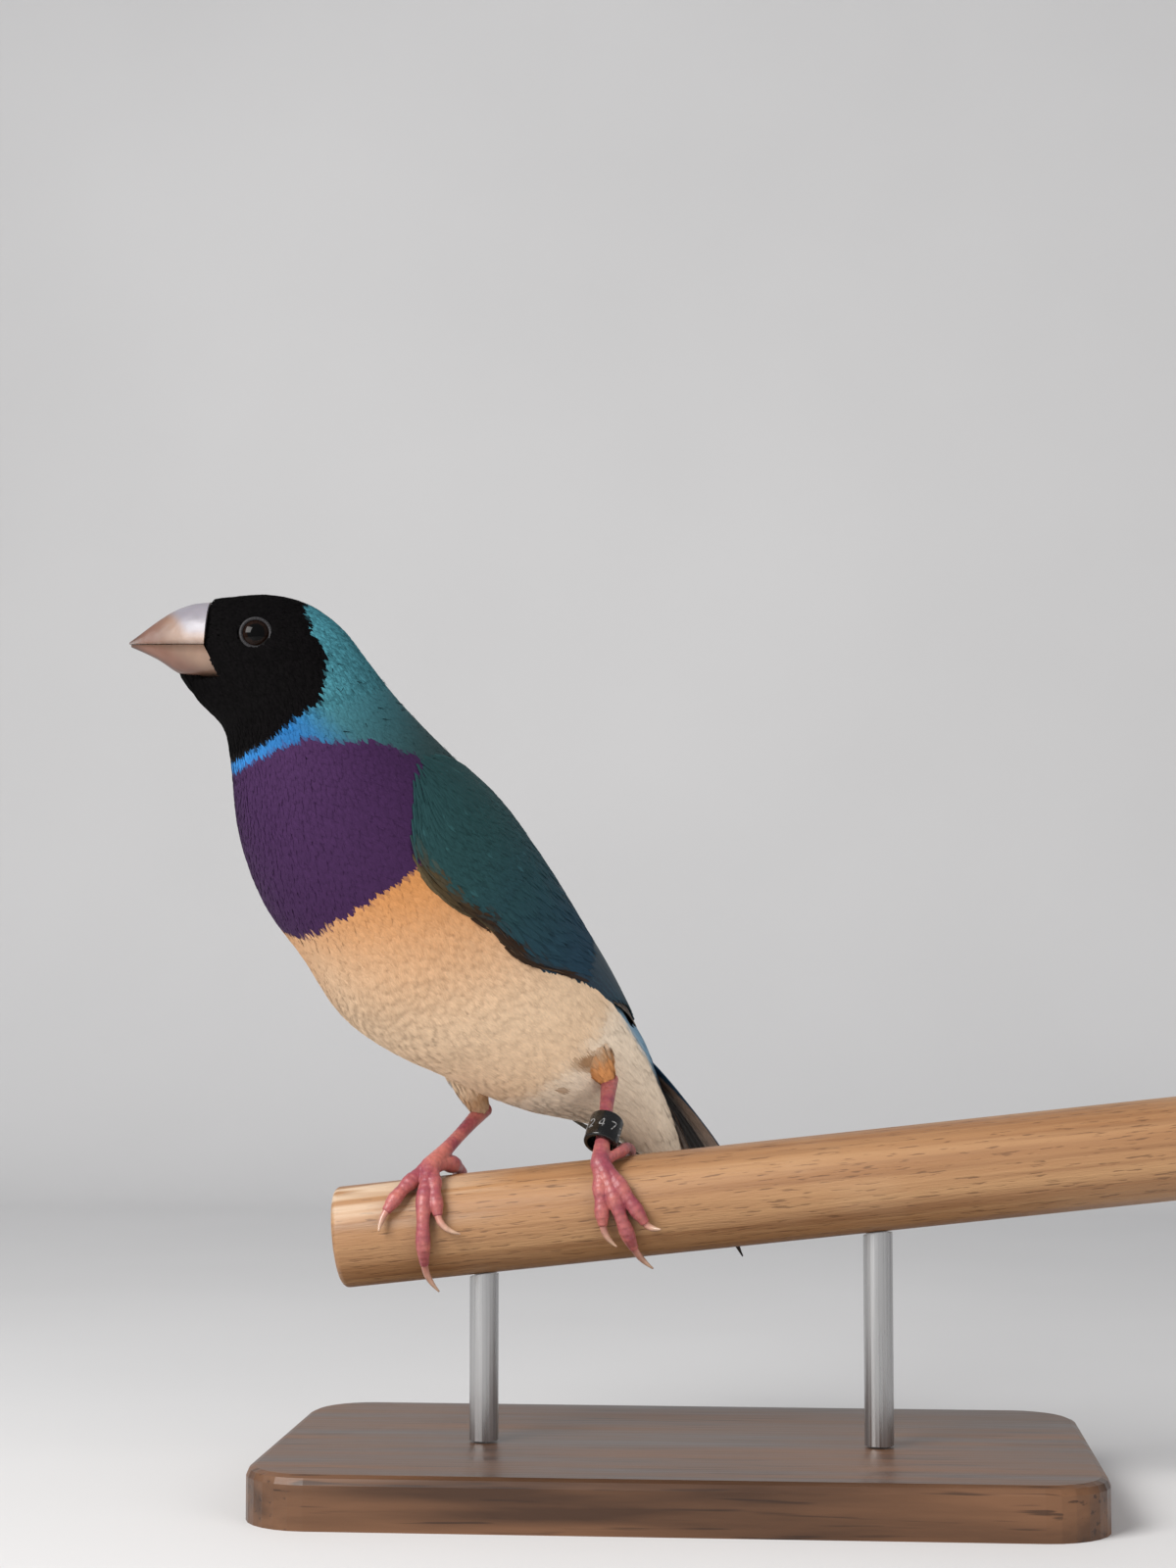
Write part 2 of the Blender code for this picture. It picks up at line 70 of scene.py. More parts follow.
PLACE = np.array([-CENTRE[0], -CENTRE[1], PERCH_HEIGHT])
DRAWS = np.random.default_rng(7)
print("nodes in the frame:", len(frame["nodes"]))

# %% [markdown]
# ## The outline of the plumage
#
# The bird's outline is a row of oval sections along its spine, from the bill's base to the tip
# of the undertail feathers. A place on the plumage is then only two numbers: how far along the
# spine it is, and the angle round it from the middle of the back. Every marking, every feather
# and the skin are laid out with those two numbers, so they always agree with each other.

# %% Sections of the body
Section = namedtuple("Section", "x y z yaw pitch half_depth half_width")
BODY = np.array([
    Section(-50.5, -19.8, 78.1, 4.7, 18, 5.45, 3.2),
    Section(-49.1, -19.7, 78.0, 4.7, 28, 6.3, 4.3),
    Section(-46.5, -19.4, 77.3, 4.7, 38, 8.3, 5.8),
    Section(-43.5, -19.2, 76.0, 4.7, 48, 9.9, 7.2),
    Section(-40.5, -18.9, 73.7, 7, 57, 10.6, 8.4),
    Section(-37.8, -18.2, 70.4, 13, 63, 10.7, 9.3),
    Section(-35.8, -17.3, 66.0, 22, 65, 11.9, 11.0),
    Section(-33.2, -14.8, 58.7, 34, 58, 14.7, 13.8),
    Section(-29.7, -11.5, 52.0, 41, 50, 16.6, 15.8),
    Section(-25.2, -7.1, 46.1, 43, 45, 17.4, 16.6),
    Section(-21.0, -3.0, 39.5, 43, 42, 18.0, 16.6),
    Section(-16.3, 1.4, 34.3, 43, 40, 16.7, 15.6),
    Section(-11.9, 5.5, 30.1, 43, 39, 14.8, 13.8),
    Section(-6.9, 10.3, 25.2, 43, 40, 12.7, 11.4),
    Section(-3.0, 13.7, 21.5, 42, 44, 10.3, 9.5),
    Section(1.3, 17.5, 17.8, 41, 48, 7.5, 7.4),
    Section(4.7, 20.6, 13.7, 41, 51, 5.0, 5.6),
    Section(7.9, 23.3, 8.6, 41, 52, 3.5, 4.2),
    Section(10.0, 25.2, 4.2, 41, 52, 2.0, 2.8),
    Section(11.1, 26.1, 1.4, 41, 52, 0.9, 1.4),
])
print("sections of the body:", len(BODY))


# %% Curves and directions
def lengths_along(points):
    steps = np.linalg.norm(np.diff(np.array(points, float), axis=0), axis=1)
    return np.concatenate([[0.0], np.cumsum(steps)])


def curve_through(knots, values, at):
    """A cubic through the values; the slope at each knot comes from its neighbours."""
    knots, values = np.array(knots, float), np.array(values, float)
    slopes = np.gradient(values, knots, axis=0)
    at = np.asarray(at, float)
    i = np.clip(np.searchsorted(knots, at, side="right") - 1, 0, len(knots) - 2)
    step, t = knots[i + 1] - knots[i], (at - knots[i]) / (knots[i + 1] - knots[i])
    if values.ndim > 1:
        step, t = step[..., None], t[..., None]
    start = (2 * t**3 - 3 * t**2 + 1) * values[i] + (t**3 - 2 * t**2 + t) * step * slopes[i]
    return start + (3 * t**2 - 2 * t**3) * values[i + 1] + (t**3 - t**2) * step * slopes[i + 1]


def unit(vectors):
    return vectors / np.linalg.norm(vectors, axis=-1, keepdims=True)


def axes_of(yaw, pitch):
    """Forward, left and back directions of something that faces -X when its yaw is zero."""
    yaw, pitch = np.radians(yaw), np.radians(pitch)
    flat = np.zeros_like(yaw)
    level = np.stack([-np.cos(yaw), -np.sin(yaw), flat], -1)
    forward = level * np.cos(pitch)[..., None] + np.stack([flat, flat, np.sin(pitch)], -1)
    left = np.stack([np.sin(yaw), -np.cos(yaw), flat], -1)
    return forward, left, np.cross(forward, left)


# %% A place on the plumage
SPINE = lengths_along(BODY[:, :3])
BODY_LENGTH = SPINE[-1]


def body_point(along, angle, lift=0.0):
    """Points on the plumage: along the spine in mm, round it in degrees from the back by the left."""
    along, angle, lift = np.broadcast_arrays(np.asarray(along, float), angle, lift)
    section = curve_through(SPINE, BODY, along)
    _, left, back = axes_of(section[..., 3], section[..., 4])
    deep, wide = section[..., 5, None], section[..., 6, None]
    turn = np.radians(angle)[..., None]
    normal = unit(back * np.cos(turn) / deep + left * np.sin(turn) / wide)
    place = section[..., :3] + back * np.cos(turn) * deep + left * np.sin(turn) * wide
    return place + normal * lift[..., None]


def body_normal(along, angle):
    return unit(body_point(along, angle, 1.0) - body_point(along, angle, 0.0))


print("spine length in mm:", round(BODY_LENGTH, 1))

# %% [markdown]
# ## Markings
#
# A blue-bodied male wears a black mask, a bright blue band under it, a turquoise nape that
# darkens down the back, a purple breast with a sharp lower edge and an orange-buff belly that
# fades to cream. Painting that by hand would need an image. Instead each border is a short
# curve, "how far along the spine at this angle", and one function mixes the colours from which
# side of each border a place is on. Skin and feathers both ask this same function.

# %% Where the markings end
MASK_EDGE = (
    (0, 7.3), (30, 8.0), (49, 10.6), (56, 13.7), (75, 16.5),
    (86, 18.0), (107, 18.6), (127, 19.5), (180, 20.4),
)
PURPLE_TOP = (
    (0, 120), (52, 110), (58, 50), (60, 33), (63, 28.6), (70, 26.4), (79, 24.2),
    (88, 23.5), (99, 22.5), (107, 21.2), (118, 20.8), (148, 21.0), (180, 21.5),
)
PURPLE_END = ((0, 42), (60, 42), (90, 40.4), (104, 39.5), (130, 39.2), (152, 39.6), (180, 40.6))

TINTS = {
    "mask": (0.0028, 0.0024, 0.0026),
    "band": (0.035, 0.215, 0.56),
    "turquoise": (0.055, 0.215, 0.265),
    "teal": (0.03, 0.066, 0.07),
    "dark_teal": (0.017, 0.038, 0.046),
    "purple": (0.05, 0.0185, 0.07),
    "buff": (0.6, 0.26, 0.085),
    "cream": (0.82, 0.6, 0.4),
    "vent": (0.86, 0.72, 0.56),
    "rump": (0.2, 0.34, 0.46),
    "tail": (0.008, 0.02, 0.035),
    "dusk": (0.3, 0.155, 0.065),
    "stain": (0.62, 0.27, 0.1),
}
TINTS = {name: np.array(value) for name, value in TINTS.items()}
print("tints:", ", ".join(TINTS))


# %% The colour at any place
def past(value, edge, softness):
    """0 before an edge, 1 past it, with a smooth step as wide as the softness."""
    share = np.clip((value - edge) / softness + 0.5, 0.0, 1.0)
    return share * share * (3 - 2 * share)


def mix(a, b, share):
    return a + (b - a) * np.asarray(share)[..., None]


def edge_at(edge, fold):
    knots = np.array(edge, float)
    return np.interp(fold, knots[:, 0], knots[:, 1])


def folded(angle):
    """The angle from the back, the same on both sides of the bird."""
    return np.abs((np.asarray(angle, float) + 180.0) % 360.0 - 180.0)


def plumage_tint(along, angle):
    """The colour of the plumage, linear, at places given along and round the body."""
    fold = folded(angle)
    along = np.broadcast_to(along, fold.shape)
    nape = mix(TINTS["turquoise"], TINTS["teal"], past(along + 0.06 * (70 - fold), 22, 22))
    tint = mix(nape, TINTS["dark_teal"], past(along, 40, 26))
    front = past(fold, 98, 34) * past(along, 24.5 + 0 * fold, -5)
    tint = mix(tint, mix(TINTS["band"] * (0.55, 0.62, 0.62), TINTS["band"], past(fold, 140, 60)), front)
    buff = mix(TINTS["buff"], TINTS["cream"], past(along + 0.16 * (fold - 105), 54, 30))
    belly = mix(buff, TINTS["vent"], past(along, 83, 16))
    breast = mix(TINTS["purple"], belly, past(along, edge_at(PURPLE_END, fold), 0.5))
    tint = mix(tint, breast, past(along, edge_at(PURPLE_TOP, fold), 0.5))
    rump = mix(mix(tint, TINTS["rump"], past(along, 82, 5)), TINTS["tail"], past(along, 93, 6))
    pale_side = np.interp(along, (80, 95, 100), (62, 54, 44))
    rear = mix(rump, TINTS["vent"], past(fold, pale_side, 9))
    tint = mix(tint, rear, past(along, 79, 5))
    return mix(TINTS["mask"], tint, past(along, edge_at(MASK_EDGE, fold), 0.35))


print("mask colour:", plumage_tint(5.0, np.array([90.0])).round(3))

# %% [markdown]
# ## Turning rows of points into meshes
#
# Most pieces here are closed tubes: rings of points joined into a wall and capped. One helper
# makes them all. It also stores what the finishes need later: a colour at each point and a
# place on the piece. Bmesh makes the faces all point outwards.

# %% Handing pieces over
def put(obj, slot, *nodes):
    """Hands a finished piece over: it rides on the one body and stands for these nodes."""
    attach(obj, "root")
    if nodes:
        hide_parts(*nodes)
    return obj


def store(mesh, name, kind, values):
    attribute = mesh.attributes.new(name, kind, "POINT")
    field = "color" if kind == "FLOAT_COLOR" else "vector" if kind == "FLOAT_VECTOR" else "value"
    attribute.data.foreach_set(field, np.ascontiguousarray(values, np.float32).ravel())


def with_alpha(tints):
    return np.concatenate([tints, np.ones((len(tints), 1))], 1)


# %% Mesh helpers
def face_outwards(mesh):
    shape = bmesh.new()
    shape.from_mesh(mesh)
    bmesh.ops.recalc_face_normals(shape, faces=shape.faces)
    shape.to_mesh(mesh)
    shape.free()


def shown(name, data):
    """An object in the scene that holds this mesh, lamp or camera."""
    obj = bpy.data.objects.new(name, data)
    bpy.context.scene.collection.objects.link(obj)
    return obj


def plain_mesh(obj):
    """The mesh as its modifiers leave it."""
    return bpy.data.meshes.new_from_object(obj.evaluated_get(bpy.context.evaluated_depsgraph_get()))


def vertex_of_corners(mesh):
    corners = np.zeros(len(mesh.loops), np.int32)
    mesh.loops.foreach_get("vertex_index", corners)
    return corners


def turns_of(count):
    """Angles in radians of equal steps round a circle."""
    return np.arange(count) * 2 * math.pi / count


def new_piece(name, points, faces, finish=None, tints=None, place=None):
    """A mesh object of points in millimetres, with its faces turned outwards."""
    mesh = bpy.data.meshes.new(name)
    mesh.from_pydata(((np.reshape(points, (-1, 3)) + PLACE) * MM).tolist(), [], faces)
    face_outwards(mesh)
    if tints is not None:
        store(mesh, "tint", "FLOAT_COLOR", with_alpha(tints))
    if place is not None:
        store(mesh, "place", "FLOAT_VECTOR", place)
    mesh.shade_smooth()
    if finish:
        mesh.materials.append(finish)
    return shown(name, mesh)


# %% Tubes
def tube_faces(count, sides):
    """The wall between rings of points, and a cap at each end."""
    faces = []
    for i in range(count - 1):
        for j in range(sides):
            k, a, b = (j + 1) % sides, i * sides, (i + 1) * sides
            faces.append((a + j, a + k, b + k, b + j))
    last = (count - 1) * sides
    return faces + [tuple(range(sides)), tuple(range(last, last + sides))]


def closed_faces(count, sides):
    """Faces of a tube whose last ring joins its first."""
    return [tuple(i % (count * sides) for i in face) for face in tube_faces(count + 1, sides)[:-2]]


def join_shapes(shapes):
    """One list of points and one of faces from several shapes, each a pair of such lists."""
    points, faces = [], []
    for own_points, own_faces in shapes:
        faces += [tuple(len(points) + i for i in face) for face in own_faces]
        points += list(own_points)
    return np.array(points), faces


def ring_by_ring(values, sides):
    """A place that only changes from ring to ring of a tube."""
    return np.repeat(values, sides)[:, None] * np.array([[1.0, 0.0, 0.0]])


SIDE_GUIDE = (0.31, 0.17, 0.94)


def ring_round(middle, direction, radius, sides):
    """Rings of points round directions, all starting on the same side."""
    direction = unit(np.asarray(direction, float))
    across = unit(np.cross(direction, SIDE_GUIDE))
    other = np.cross(direction, across)
    turns = turns_of(sides)
    circle = np.cos(turns)[:, None] * across[..., None, :] + np.sin(turns)[:, None] * other[..., None, :]
    return np.asarray(middle)[..., None, :] + circle * np.asarray(radius)[..., None, None]


def fine_path(path, count):
    knots = lengths_along(path)
    return curve_through(knots, path, np.linspace(0, knots[-1], count))


def smooth_tube(path, radii, sides):
    """Points of rings along a path, with a radius for each point of it."""
    directions = np.gradient(path, lengths_along(path), axis=0)
    return ring_round(path, directions, radii, sides).reshape(-1, 3)


print("faces of a tube of 3 rings with 8 sides:", len(tube_faces(3, 8)))

# %% [markdown]
# ## Finishes
#
# A feather is not one flat colour. Its barbs run slantwise from the shaft, so light catches it
# in fine lines, and no two feathers have quite the same shade. The plumage finish reads the
# colour stored on each feather, shifts it a little by a number drawn for that feather, darkens
# it at the root and lays barb lines over it. All of it is worked out from stored attributes,
# so nothing slides when the camera moves.

# %% A new finish and its nodes
def new_finish(name, roughness, specular=0.5, coat=0.0, coat_roughness=0.1):
    made = bpy.data.materials.new(name)
    made.use_nodes = True
    shader = made.node_tree.nodes["Principled BSDF"]
    shader.inputs["Roughness"].default_value = roughness
    shader.inputs["Specular IOR Level"].default_value = specular
    shader.inputs["Coat Weight"].default_value = coat
    shader.inputs["Coat Roughness"].default_value = coat_roughness
    return made, made.node_tree, shader


def node(tree, kind, inputs=None, **settings):
    made = tree.nodes.new(kind)
    for key, value in settings.items():
        setattr(made, key, value)
    for key, value in (inputs or {}).items():
        if isinstance(value, bpy.types.NodeSocket):
            tree.links.new(value, made.inputs[key])
        else:
            made.inputs[key].default_value = value
    return made


def attribute(tree, name):
    return node(tree, "ShaderNodeAttribute", attribute_name=name)


def maths(tree, operation, a, b=0.0):
    return node(tree, "ShaderNodeMath", {0: a, 1: b}, operation=operation).outputs[0]


def split(tree, vector):
    return node(tree, "ShaderNodeSeparateXYZ", {0: vector}).outputs


def stored_place(tree):
    return split(tree, attribute(tree, "place").outputs["Vector"])


def stored_tint(tree):
    return attribute(tree, "tint").outputs["Color"]


def colour_mix(tree, share, a, b, way="MIX"):
    return node(tree, "ShaderNodeMix", {0: share, 6: a, 7: b}, data_type="RGBA", blend_type=way).outputs[2]


# %% Patterns
def noise(tree, scale, detail=3.0, stretch=(1, 1, 1), vector=None):
    where = vector or node(tree, "ShaderNodeTexCoord").outputs["Object"]
    moved = node(tree, "ShaderNodeMapping", {"Vector": where, "Scale": stretch})
    keys = {"Vector": moved.outputs[0], "Scale": scale, "Detail": detail}
    return node(tree, "ShaderNodeTexNoise", keys).outputs[0]


def spread(tree, value, low, high, to_low, to_high):
    keys = {0: value, 1: low, 2: high, 3: to_low, 4: to_high}
    return node(tree, "ShaderNodeMapRange", keys).outputs[0]


def grey(tree, value):
    return node(tree, "ShaderNodeCombineColor", {0: value, 1: value, 2: value}).outputs[0]


def varied(tree, scale, low, high):
    """A noise that drifts between two values."""
    return spread(tree, noise(tree, scale), 0.3, 0.7, low, high)


# %% What a finish is given
def paint(tree, shader, colour, shade=None):
    """Links the base colour, dimmed by a shade where one is given."""
    if shade is not None:
        colour = colour_mix(tree, 1.0, colour, grey(tree, shade), "MULTIPLY")
    tree.links.new(colour, shader.inputs["Base Color"])


def roughen(tree, shader, value, smooth, rough):
    tree.links.new(spread(tree, value, 0.3, 0.7, smooth, rough), shader.inputs["Roughness"])


def let_light_in(shader, weight, radius):
    shader.inputs["Subsurface Weight"].default_value = weight
    shader.inputs["Subsurface Scale"].default_value = 0.001
    shader.inputs["Subsurface Radius"].default_value = radius


def bump(tree, shader, height, distance, strength=1.0):
    made = node(tree, "ShaderNodeBump", {"Height": height, "Distance": distance, "Strength": strength})
    tree.links.new(made.outputs[0], shader.inputs["Normal"])


# %% Plumage finish
def feather_finish(name, roughness, specular, shade_range, barb_scale, barb_dark, root_dark):
    """Reads tint, shade and place from each feather; place is how far along and across it."""
    made, tree, shader = new_finish(name, roughness, specular)
    along, across, _ = stored_place(tree)
    draw = attribute(tree, "shade").outputs["Fac"]
    slant = maths(tree, "SUBTRACT", along, maths(tree, "MULTIPLY", maths(tree, "ABSOLUTE", across), 0.9))
    where = node(tree, "ShaderNodeCombineXYZ", {0: slant, 1: maths(tree, "MULTIPLY", across, 0.6), 2: draw})
    barbs = noise(tree, barb_scale, 0.0, (1.0, 1.0, 9.0), where.outputs[0])
    lines = spread(tree, barbs, 0.35, 0.65, 1.0 - barb_dark, 1.0 + barb_dark * 0.6)
    root = spread(tree, along, 0.0, 0.55, 1.0 - root_dark, 1.0)
    own = spread(tree, draw, 0.0, 1.0, 1.0 - shade_range, 1.0 + shade_range)
    lit = maths(tree, "MULTIPLY", maths(tree, "MULTIPLY", lines, root), own)
    paint(tree, shader, stored_tint(tree), lit)
    return made


SOFT_PLUMAGE = feather_finish("soft_plumage", 0.72, 0.14, 0.06, 7.0, 0.07, 0.04)
MASK_PLUMAGE = feather_finish("mask_plumage", 0.9, 0.06, 0.3, 6.0, 0.2, 0.2)
WING_PLUMAGE = feather_finish("wing_plumage", 0.55, 0.26, 0.1, 26.0, 0.3, 0.15)
print("plumage finishes:", 3)

# %% [markdown]
# ## The skin
#
# Under the feathers lies one unbroken skin. It follows the same sections as the outline but
# runs about a millimetre inside it, which is how deep the coat is. The two feathered thighs
# grow out of it, so they are joined with a Boolean union; that keeps the skin one closed shell
# with no seam. Afterwards each point looks up the nearest place on the plain body, and takes
# its colour and its place on the unwrap from there.

# %% How deep the coat is, and the body without legs
SKIN_SIDES = 112
SKIN_RINGS = 190
SKIN_START = 0.25


def coat_depth(along):
    return np.interp(along, (0, 3, 10, 25, 40, 85, BODY_LENGTH), (0.35, 0.5, 0.65, 1.0, 1.15, 0.9, 0.35))


THIGH_RADII = {"right": (4.1, 2.8, 1.4), "left": (4.5, 3.1, 1.1)}
THIGHS = {
    "right": ((-18.4, 3.4, 23.0), (-17.1, 6.2, 17.6), (-16.2, 8.9, 14.2)),
    "left": ((-2.2, 6.9, 24.5), (1.0, 5.8, 20.5), (2.4, 5.3, 18.2)),
}
THIGH_COAT = 0.55
THIGH_RINGS = 24
THIGH_SIDES = 36
LEAST_THIGH = 0.5
BETWEEN_LEGS = -9.0
HOLLOW_DEPTH = 1.7
THIGH_TINTS = {"right": mix(TINTS["cream"], TINTS["dusk"], 0.45), "left": TINTS["stain"]}


def thigh_points(side):
    """A bare thigh, thinner than the feathered one by the depth of its coat."""
    path = fine_path(np.array(THIGHS[side]), THIGH_RINGS)
    knots = lengths_along(path)
    radii = curve_through(np.linspace(0, knots[-1], 3), THIGH_RADII[side], knots) - THIGH_COAT
    return smooth_tube(path, np.maximum(radii, LEAST_THIGH), THIGH_SIDES)


def jaw_hollow(along, fold):
    """The cheeks are drawn in a little behind the lower mandible, so that its hind corner shows."""
    within = past(fold, 100, 16) * past(fold, 147, -16)
    return HOLLOW_DEPTH * within * past(along, 1.0, 1.5) * past(along, 8.8, -1.6)


# %% The skin's shell
def body_shell():
    along = np.linspace(SKIN_START, BODY_LENGTH - 0.3, SKIN_RINGS)[:, None]
    angles = (np.arange(SKIN_SIDES) * 360.0 / SKIN_SIDES)[None, :]
    points = body_point(along, angles, -coat_depth(along) - jaw_hollow(along, folded(angles)))
    along, angles = np.broadcast_arrays(along, angles)
    return points.reshape(-1, 3), along.ravel(), angles.ravel()


# %% Its unwrap and colours
def unwrap_skin(mesh, along, angle):
    """Unrolls the body's tube: angle across, spine up; faces over the seam keep together."""
    layer = mesh.uv_layers.new(name="OFBake")
    corner = vertex_of_corners(mesh)
    across, up = angle[corner] / 360.0, along[corner] / BODY_LENGTH
    for face in mesh.polygons:
        own = slice(face.loop_start, face.loop_start + face.loop_total)
        if np.ptp(across[own]) > 0.5:
            across[own] = np.where(across[own] < 0.5, across[own] + 1.0, across[own])
    layer.data.foreach_set("uv", np.stack([across, up], 1).astype(np.float32).ravel())


def make_skin():
    points, along, angle = body_shell()
    skin = new_piece("skin", points, tube_faces(SKIN_RINGS, SKIN_SIDES))
    for side in ("left", "right"):
        thigh = new_piece(f"thigh_core_{side}", thigh_points(side), tube_faces(THIGH_RINGS, THIGH_SIDES))
        step = skin.modifiers.new("join", "BOOLEAN")
        step.operation, step.object = "UNION", thigh
        merged = plain_mesh(skin)
        skin.modifiers.clear()
        skin.data = merged
        bpy.data.objects.remove(thigh)
    return skin, points, along, angle


def colour_skin(skin, points, along, angle):
    tree = KDTree(len(points))
    for i, point in enumerate(points):
        tree.insert(point, i)
    tree.balance()
    mesh = skin.data
    places = np.array([v.co for v in mesh.vertices]) / MM - PLACE
    found = [tree.find(place) for place in places]
    near = np.array([hit[1] for hit in found])
    off = np.array([hit[2] for hit in found])
    tints = plumage_tint(along[near], angle[near])
    side = np.where(places[:, 0] < BETWEEN_LEGS, "right", "left")
    for name, tint in THIGH_TINTS.items():
        on_leg = past(off, 1.2, 1.2) * (side == name)
        tints = mix(tints, tint, on_leg)
    store(mesh, "tint", "FLOAT_COLOR", with_alpha(tints))
    unwrap_skin(mesh, along[near], angle[near])
    mesh.shade_smooth()


skin, *shell = make_skin()
colour_skin(skin, *shell)
print("skin faces:", len(skin.data.polygons))

# %% Skin finish
def skin_finish():
    """Down seen between the feathers: the same colours, a little darker and duller."""
    made, tree, shader = new_finish("skin_and_down", 0.85, 0.2)
    paint(tree, shader, stored_tint(tree), varied(tree, 1400.0, 0.8, 1.0))
    bump(tree, shader, noise(tree, 2200.0), 0.00008)
    return made


skin.data.materials.clear()
skin.data.materials.append(skin_finish())
put(skin, "breast_and_belly", "head", "neck", "trunk", "thigh_left", "thigh_right")

# %% [markdown]
# ## One small feather, many times
#
# Contour feathers are tiny overlapping vanes. Three shapes are enough: a leaf-like vane with a
# raised shaft for sleek parts, a lock of three thin points for the loose, hairy belly, and a
# plain hair for the few that stand clear. Each is a closed solid of ten to thirty triangles.
# A Geometry Nodes tree then puts one on every root point, turns it to lie along the body,
# scales it, realizes it and writes its small patch on the unwrap. Points carry the lie, size
# and colour as attributes.

# %% The feather shapes
def blade(stations, half_widths, dips, ridge, drift=0.0):
    """A closed three-sided blade along X, one unit long: its root dips down, its end is a point."""
    points = []
    for x, half, dip in zip(stations, half_widths, dips):
        aside = drift * x
        points += [(x, aside - half, dip), (x, aside, dip + ridge), (x, aside + half, dip)]
    tip = len(points)
    points.append((1.0, drift, 0.0))
    faces = [(0, 1, 2)]
    for i in range(len(stations) - 1):
        a, b = 3 * i, 3 * i + 3
        for j in range(3):
            k = (j + 1) % 3
            faces.append((a + j, b + j, b + k, a + k))
    last = tip - 3
    faces += [(last, tip, last + 1), (last + 1, tip, last + 2), (last + 2, tip, last)]
    return points, faces


def feather_shape(name, *blades):
    points, faces = join_shapes(blades)
    mesh = bpy.data.meshes.new(name)
    mesh.from_pydata(points.tolist(), [], faces)
    face_outwards(mesh)
    store(mesh, "place", "FLOAT_VECTOR", points * (1.0, 1.0, 0.0))
    mesh.shade_smooth()
    return shown(name, mesh)


VANE = feather_shape("vane_shape", blade((0.0, 0.25, 0.7), (0.26, 0.5, 0.42), (-1.0, -0.2, -0.03), 0.07))
LOCK = feather_shape(
    "lock_shape",
    blade((0.0, 0.42), (0.2, 0.26), (-1.0, -0.09), 0.07, drift=-0.3),
    blade((0.0, 0.55), (0.24, 0.3), (-1.0, -0.04), 0.08),
    blade((0.0, 0.36), (0.2, 0.25), (-1.0, -0.12), 0.07, drift=0.32),
)
HAIR = feather_shape("hair_shape", blade((0.0, 0.5), (0.5, 0.4), (-0.6, 0.0), 0.25))
for shape in (VANE, LOCK, HAIR):
    print(f"{shape.name}: {len(shape.data.polygons)} faces")


# %% What every tree needs
def new_tree(name, **inputs):
    """A Geometry Nodes tree with points as its first input and these others, by kind."""
    tree = bpy.data.node_groups.new(name, "GeometryNodeTree")
    for label, kind in {"Geometry": "Geometry", **inputs}.items():
        tree.interface.new_socket(label.replace("_", " "), in_out="INPUT", socket_type=f"NodeSocket{kind}")
    tree.interface.new_socket("Geometry", in_out="OUTPUT", socket_type="NodeSocketGeometry")
    return tree, tree.nodes.new("NodeGroupInput").outputs, tree.nodes.new("NodeGroupOutput")


def dress(tree, geometry, finish, result):
    dressed = node(tree, "GeometryNodeSetMaterial", {"Geometry": geometry, "Material": finish})
    tree.links.new(dressed.outputs[0], result.inputs[0])


# %% The tree that plants them
PATCH = 0.003


def plumage_tree():
    """Inputs: root points with lie, up, size, tint, shade, root_uv; a feather; sizes and finish."""
    tree, given, result = new_tree(
        "plumage", Feather="Object", Size_change="Float", Ruffle="Float", Seed="Int", Finish="Material")

    def named(name):
        keys = {"Name": name}
        return node(tree, "GeometryNodeInputNamedAttribute", keys, data_type="FLOAT_VECTOR").outputs[0]

    def scaled(vector, by):
        return node(tree, "ShaderNodeVectorMath", {0: vector, 3: by}, operation="SCALE").outputs[0]

    def drawn(keys, kind):
        return node(tree, "FunctionNodeRandomValue", {**keys, "Seed": given["Seed"]}, data_type=kind).outputs

    turn = node(tree, "FunctionNodeAxesToRotation", {0: named("lie"), 1: named("up")},
                primary_axis="X", secondary_axis="Z")
    ruffle = given["Ruffle"]
    limit = node(tree, "ShaderNodeCombineXYZ", {0: ruffle, 1: ruffle, 2: ruffle}).outputs[0]
    stray = drawn({0: scaled(limit, -1.0), 1: limit}, "FLOAT_VECTOR")[0]
    euler = node(tree, "FunctionNodeEulerToRotation", {0: stray})
    turned = node(tree, "FunctionNodeRotateRotation", {0: turn.outputs[0], 1: euler.outputs[0]},
                  rotation_space="LOCAL")
    low = maths(tree, "SUBTRACT", 1.0, given["Size change"])
    high = maths(tree, "ADD", 1.0, given["Size change"])
    size = scaled(named("size"), drawn({2: low, 3: high}, "FLOAT")[1])
    shape = node(tree, "GeometryNodeObjectInfo", {"Object": given["Feather"]})
    planted = node(tree, "GeometryNodeInstanceOnPoints", {
        "Points": given["Geometry"], "Instance": shape.outputs["Geometry"],
        "Rotation": turned.outputs[0], "Scale": size})
    real = node(tree, "GeometryNodeRealizeInstances", {0: planted.outputs[0]})
    keys = {0: named("root_uv"), 1: scaled(named("place"), PATCH)}
    where = node(tree, "ShaderNodeVectorMath", keys, operation="ADD")
    unwrap = node(tree, "GeometryNodeStoreNamedAttribute", {"Geometry": real.outputs[0], "Name": "OFBake"},
                  data_type="FLOAT2", domain="CORNER")
    tree.links.new(where.outputs[0], unwrap.inputs["Value"])
    dress(tree, unwrap.outputs[0], given["Finish"], result)
    return tree


PLUMAGE = plumage_tree()
print("nodes in the planting tree:", len(PLUMAGE.nodes))


# %% Planting
def set_inputs(modifier, tree, values):
    """Sets a tree's named inputs on the modifier that runs it."""
    modifier.node_group = tree
    for item in tree.interface.items_tree:
        if item.in_out == "INPUT" and item.name in values:
            modifier[item.identifier] = values[item.name]
    bpy.context.view_layer.update()


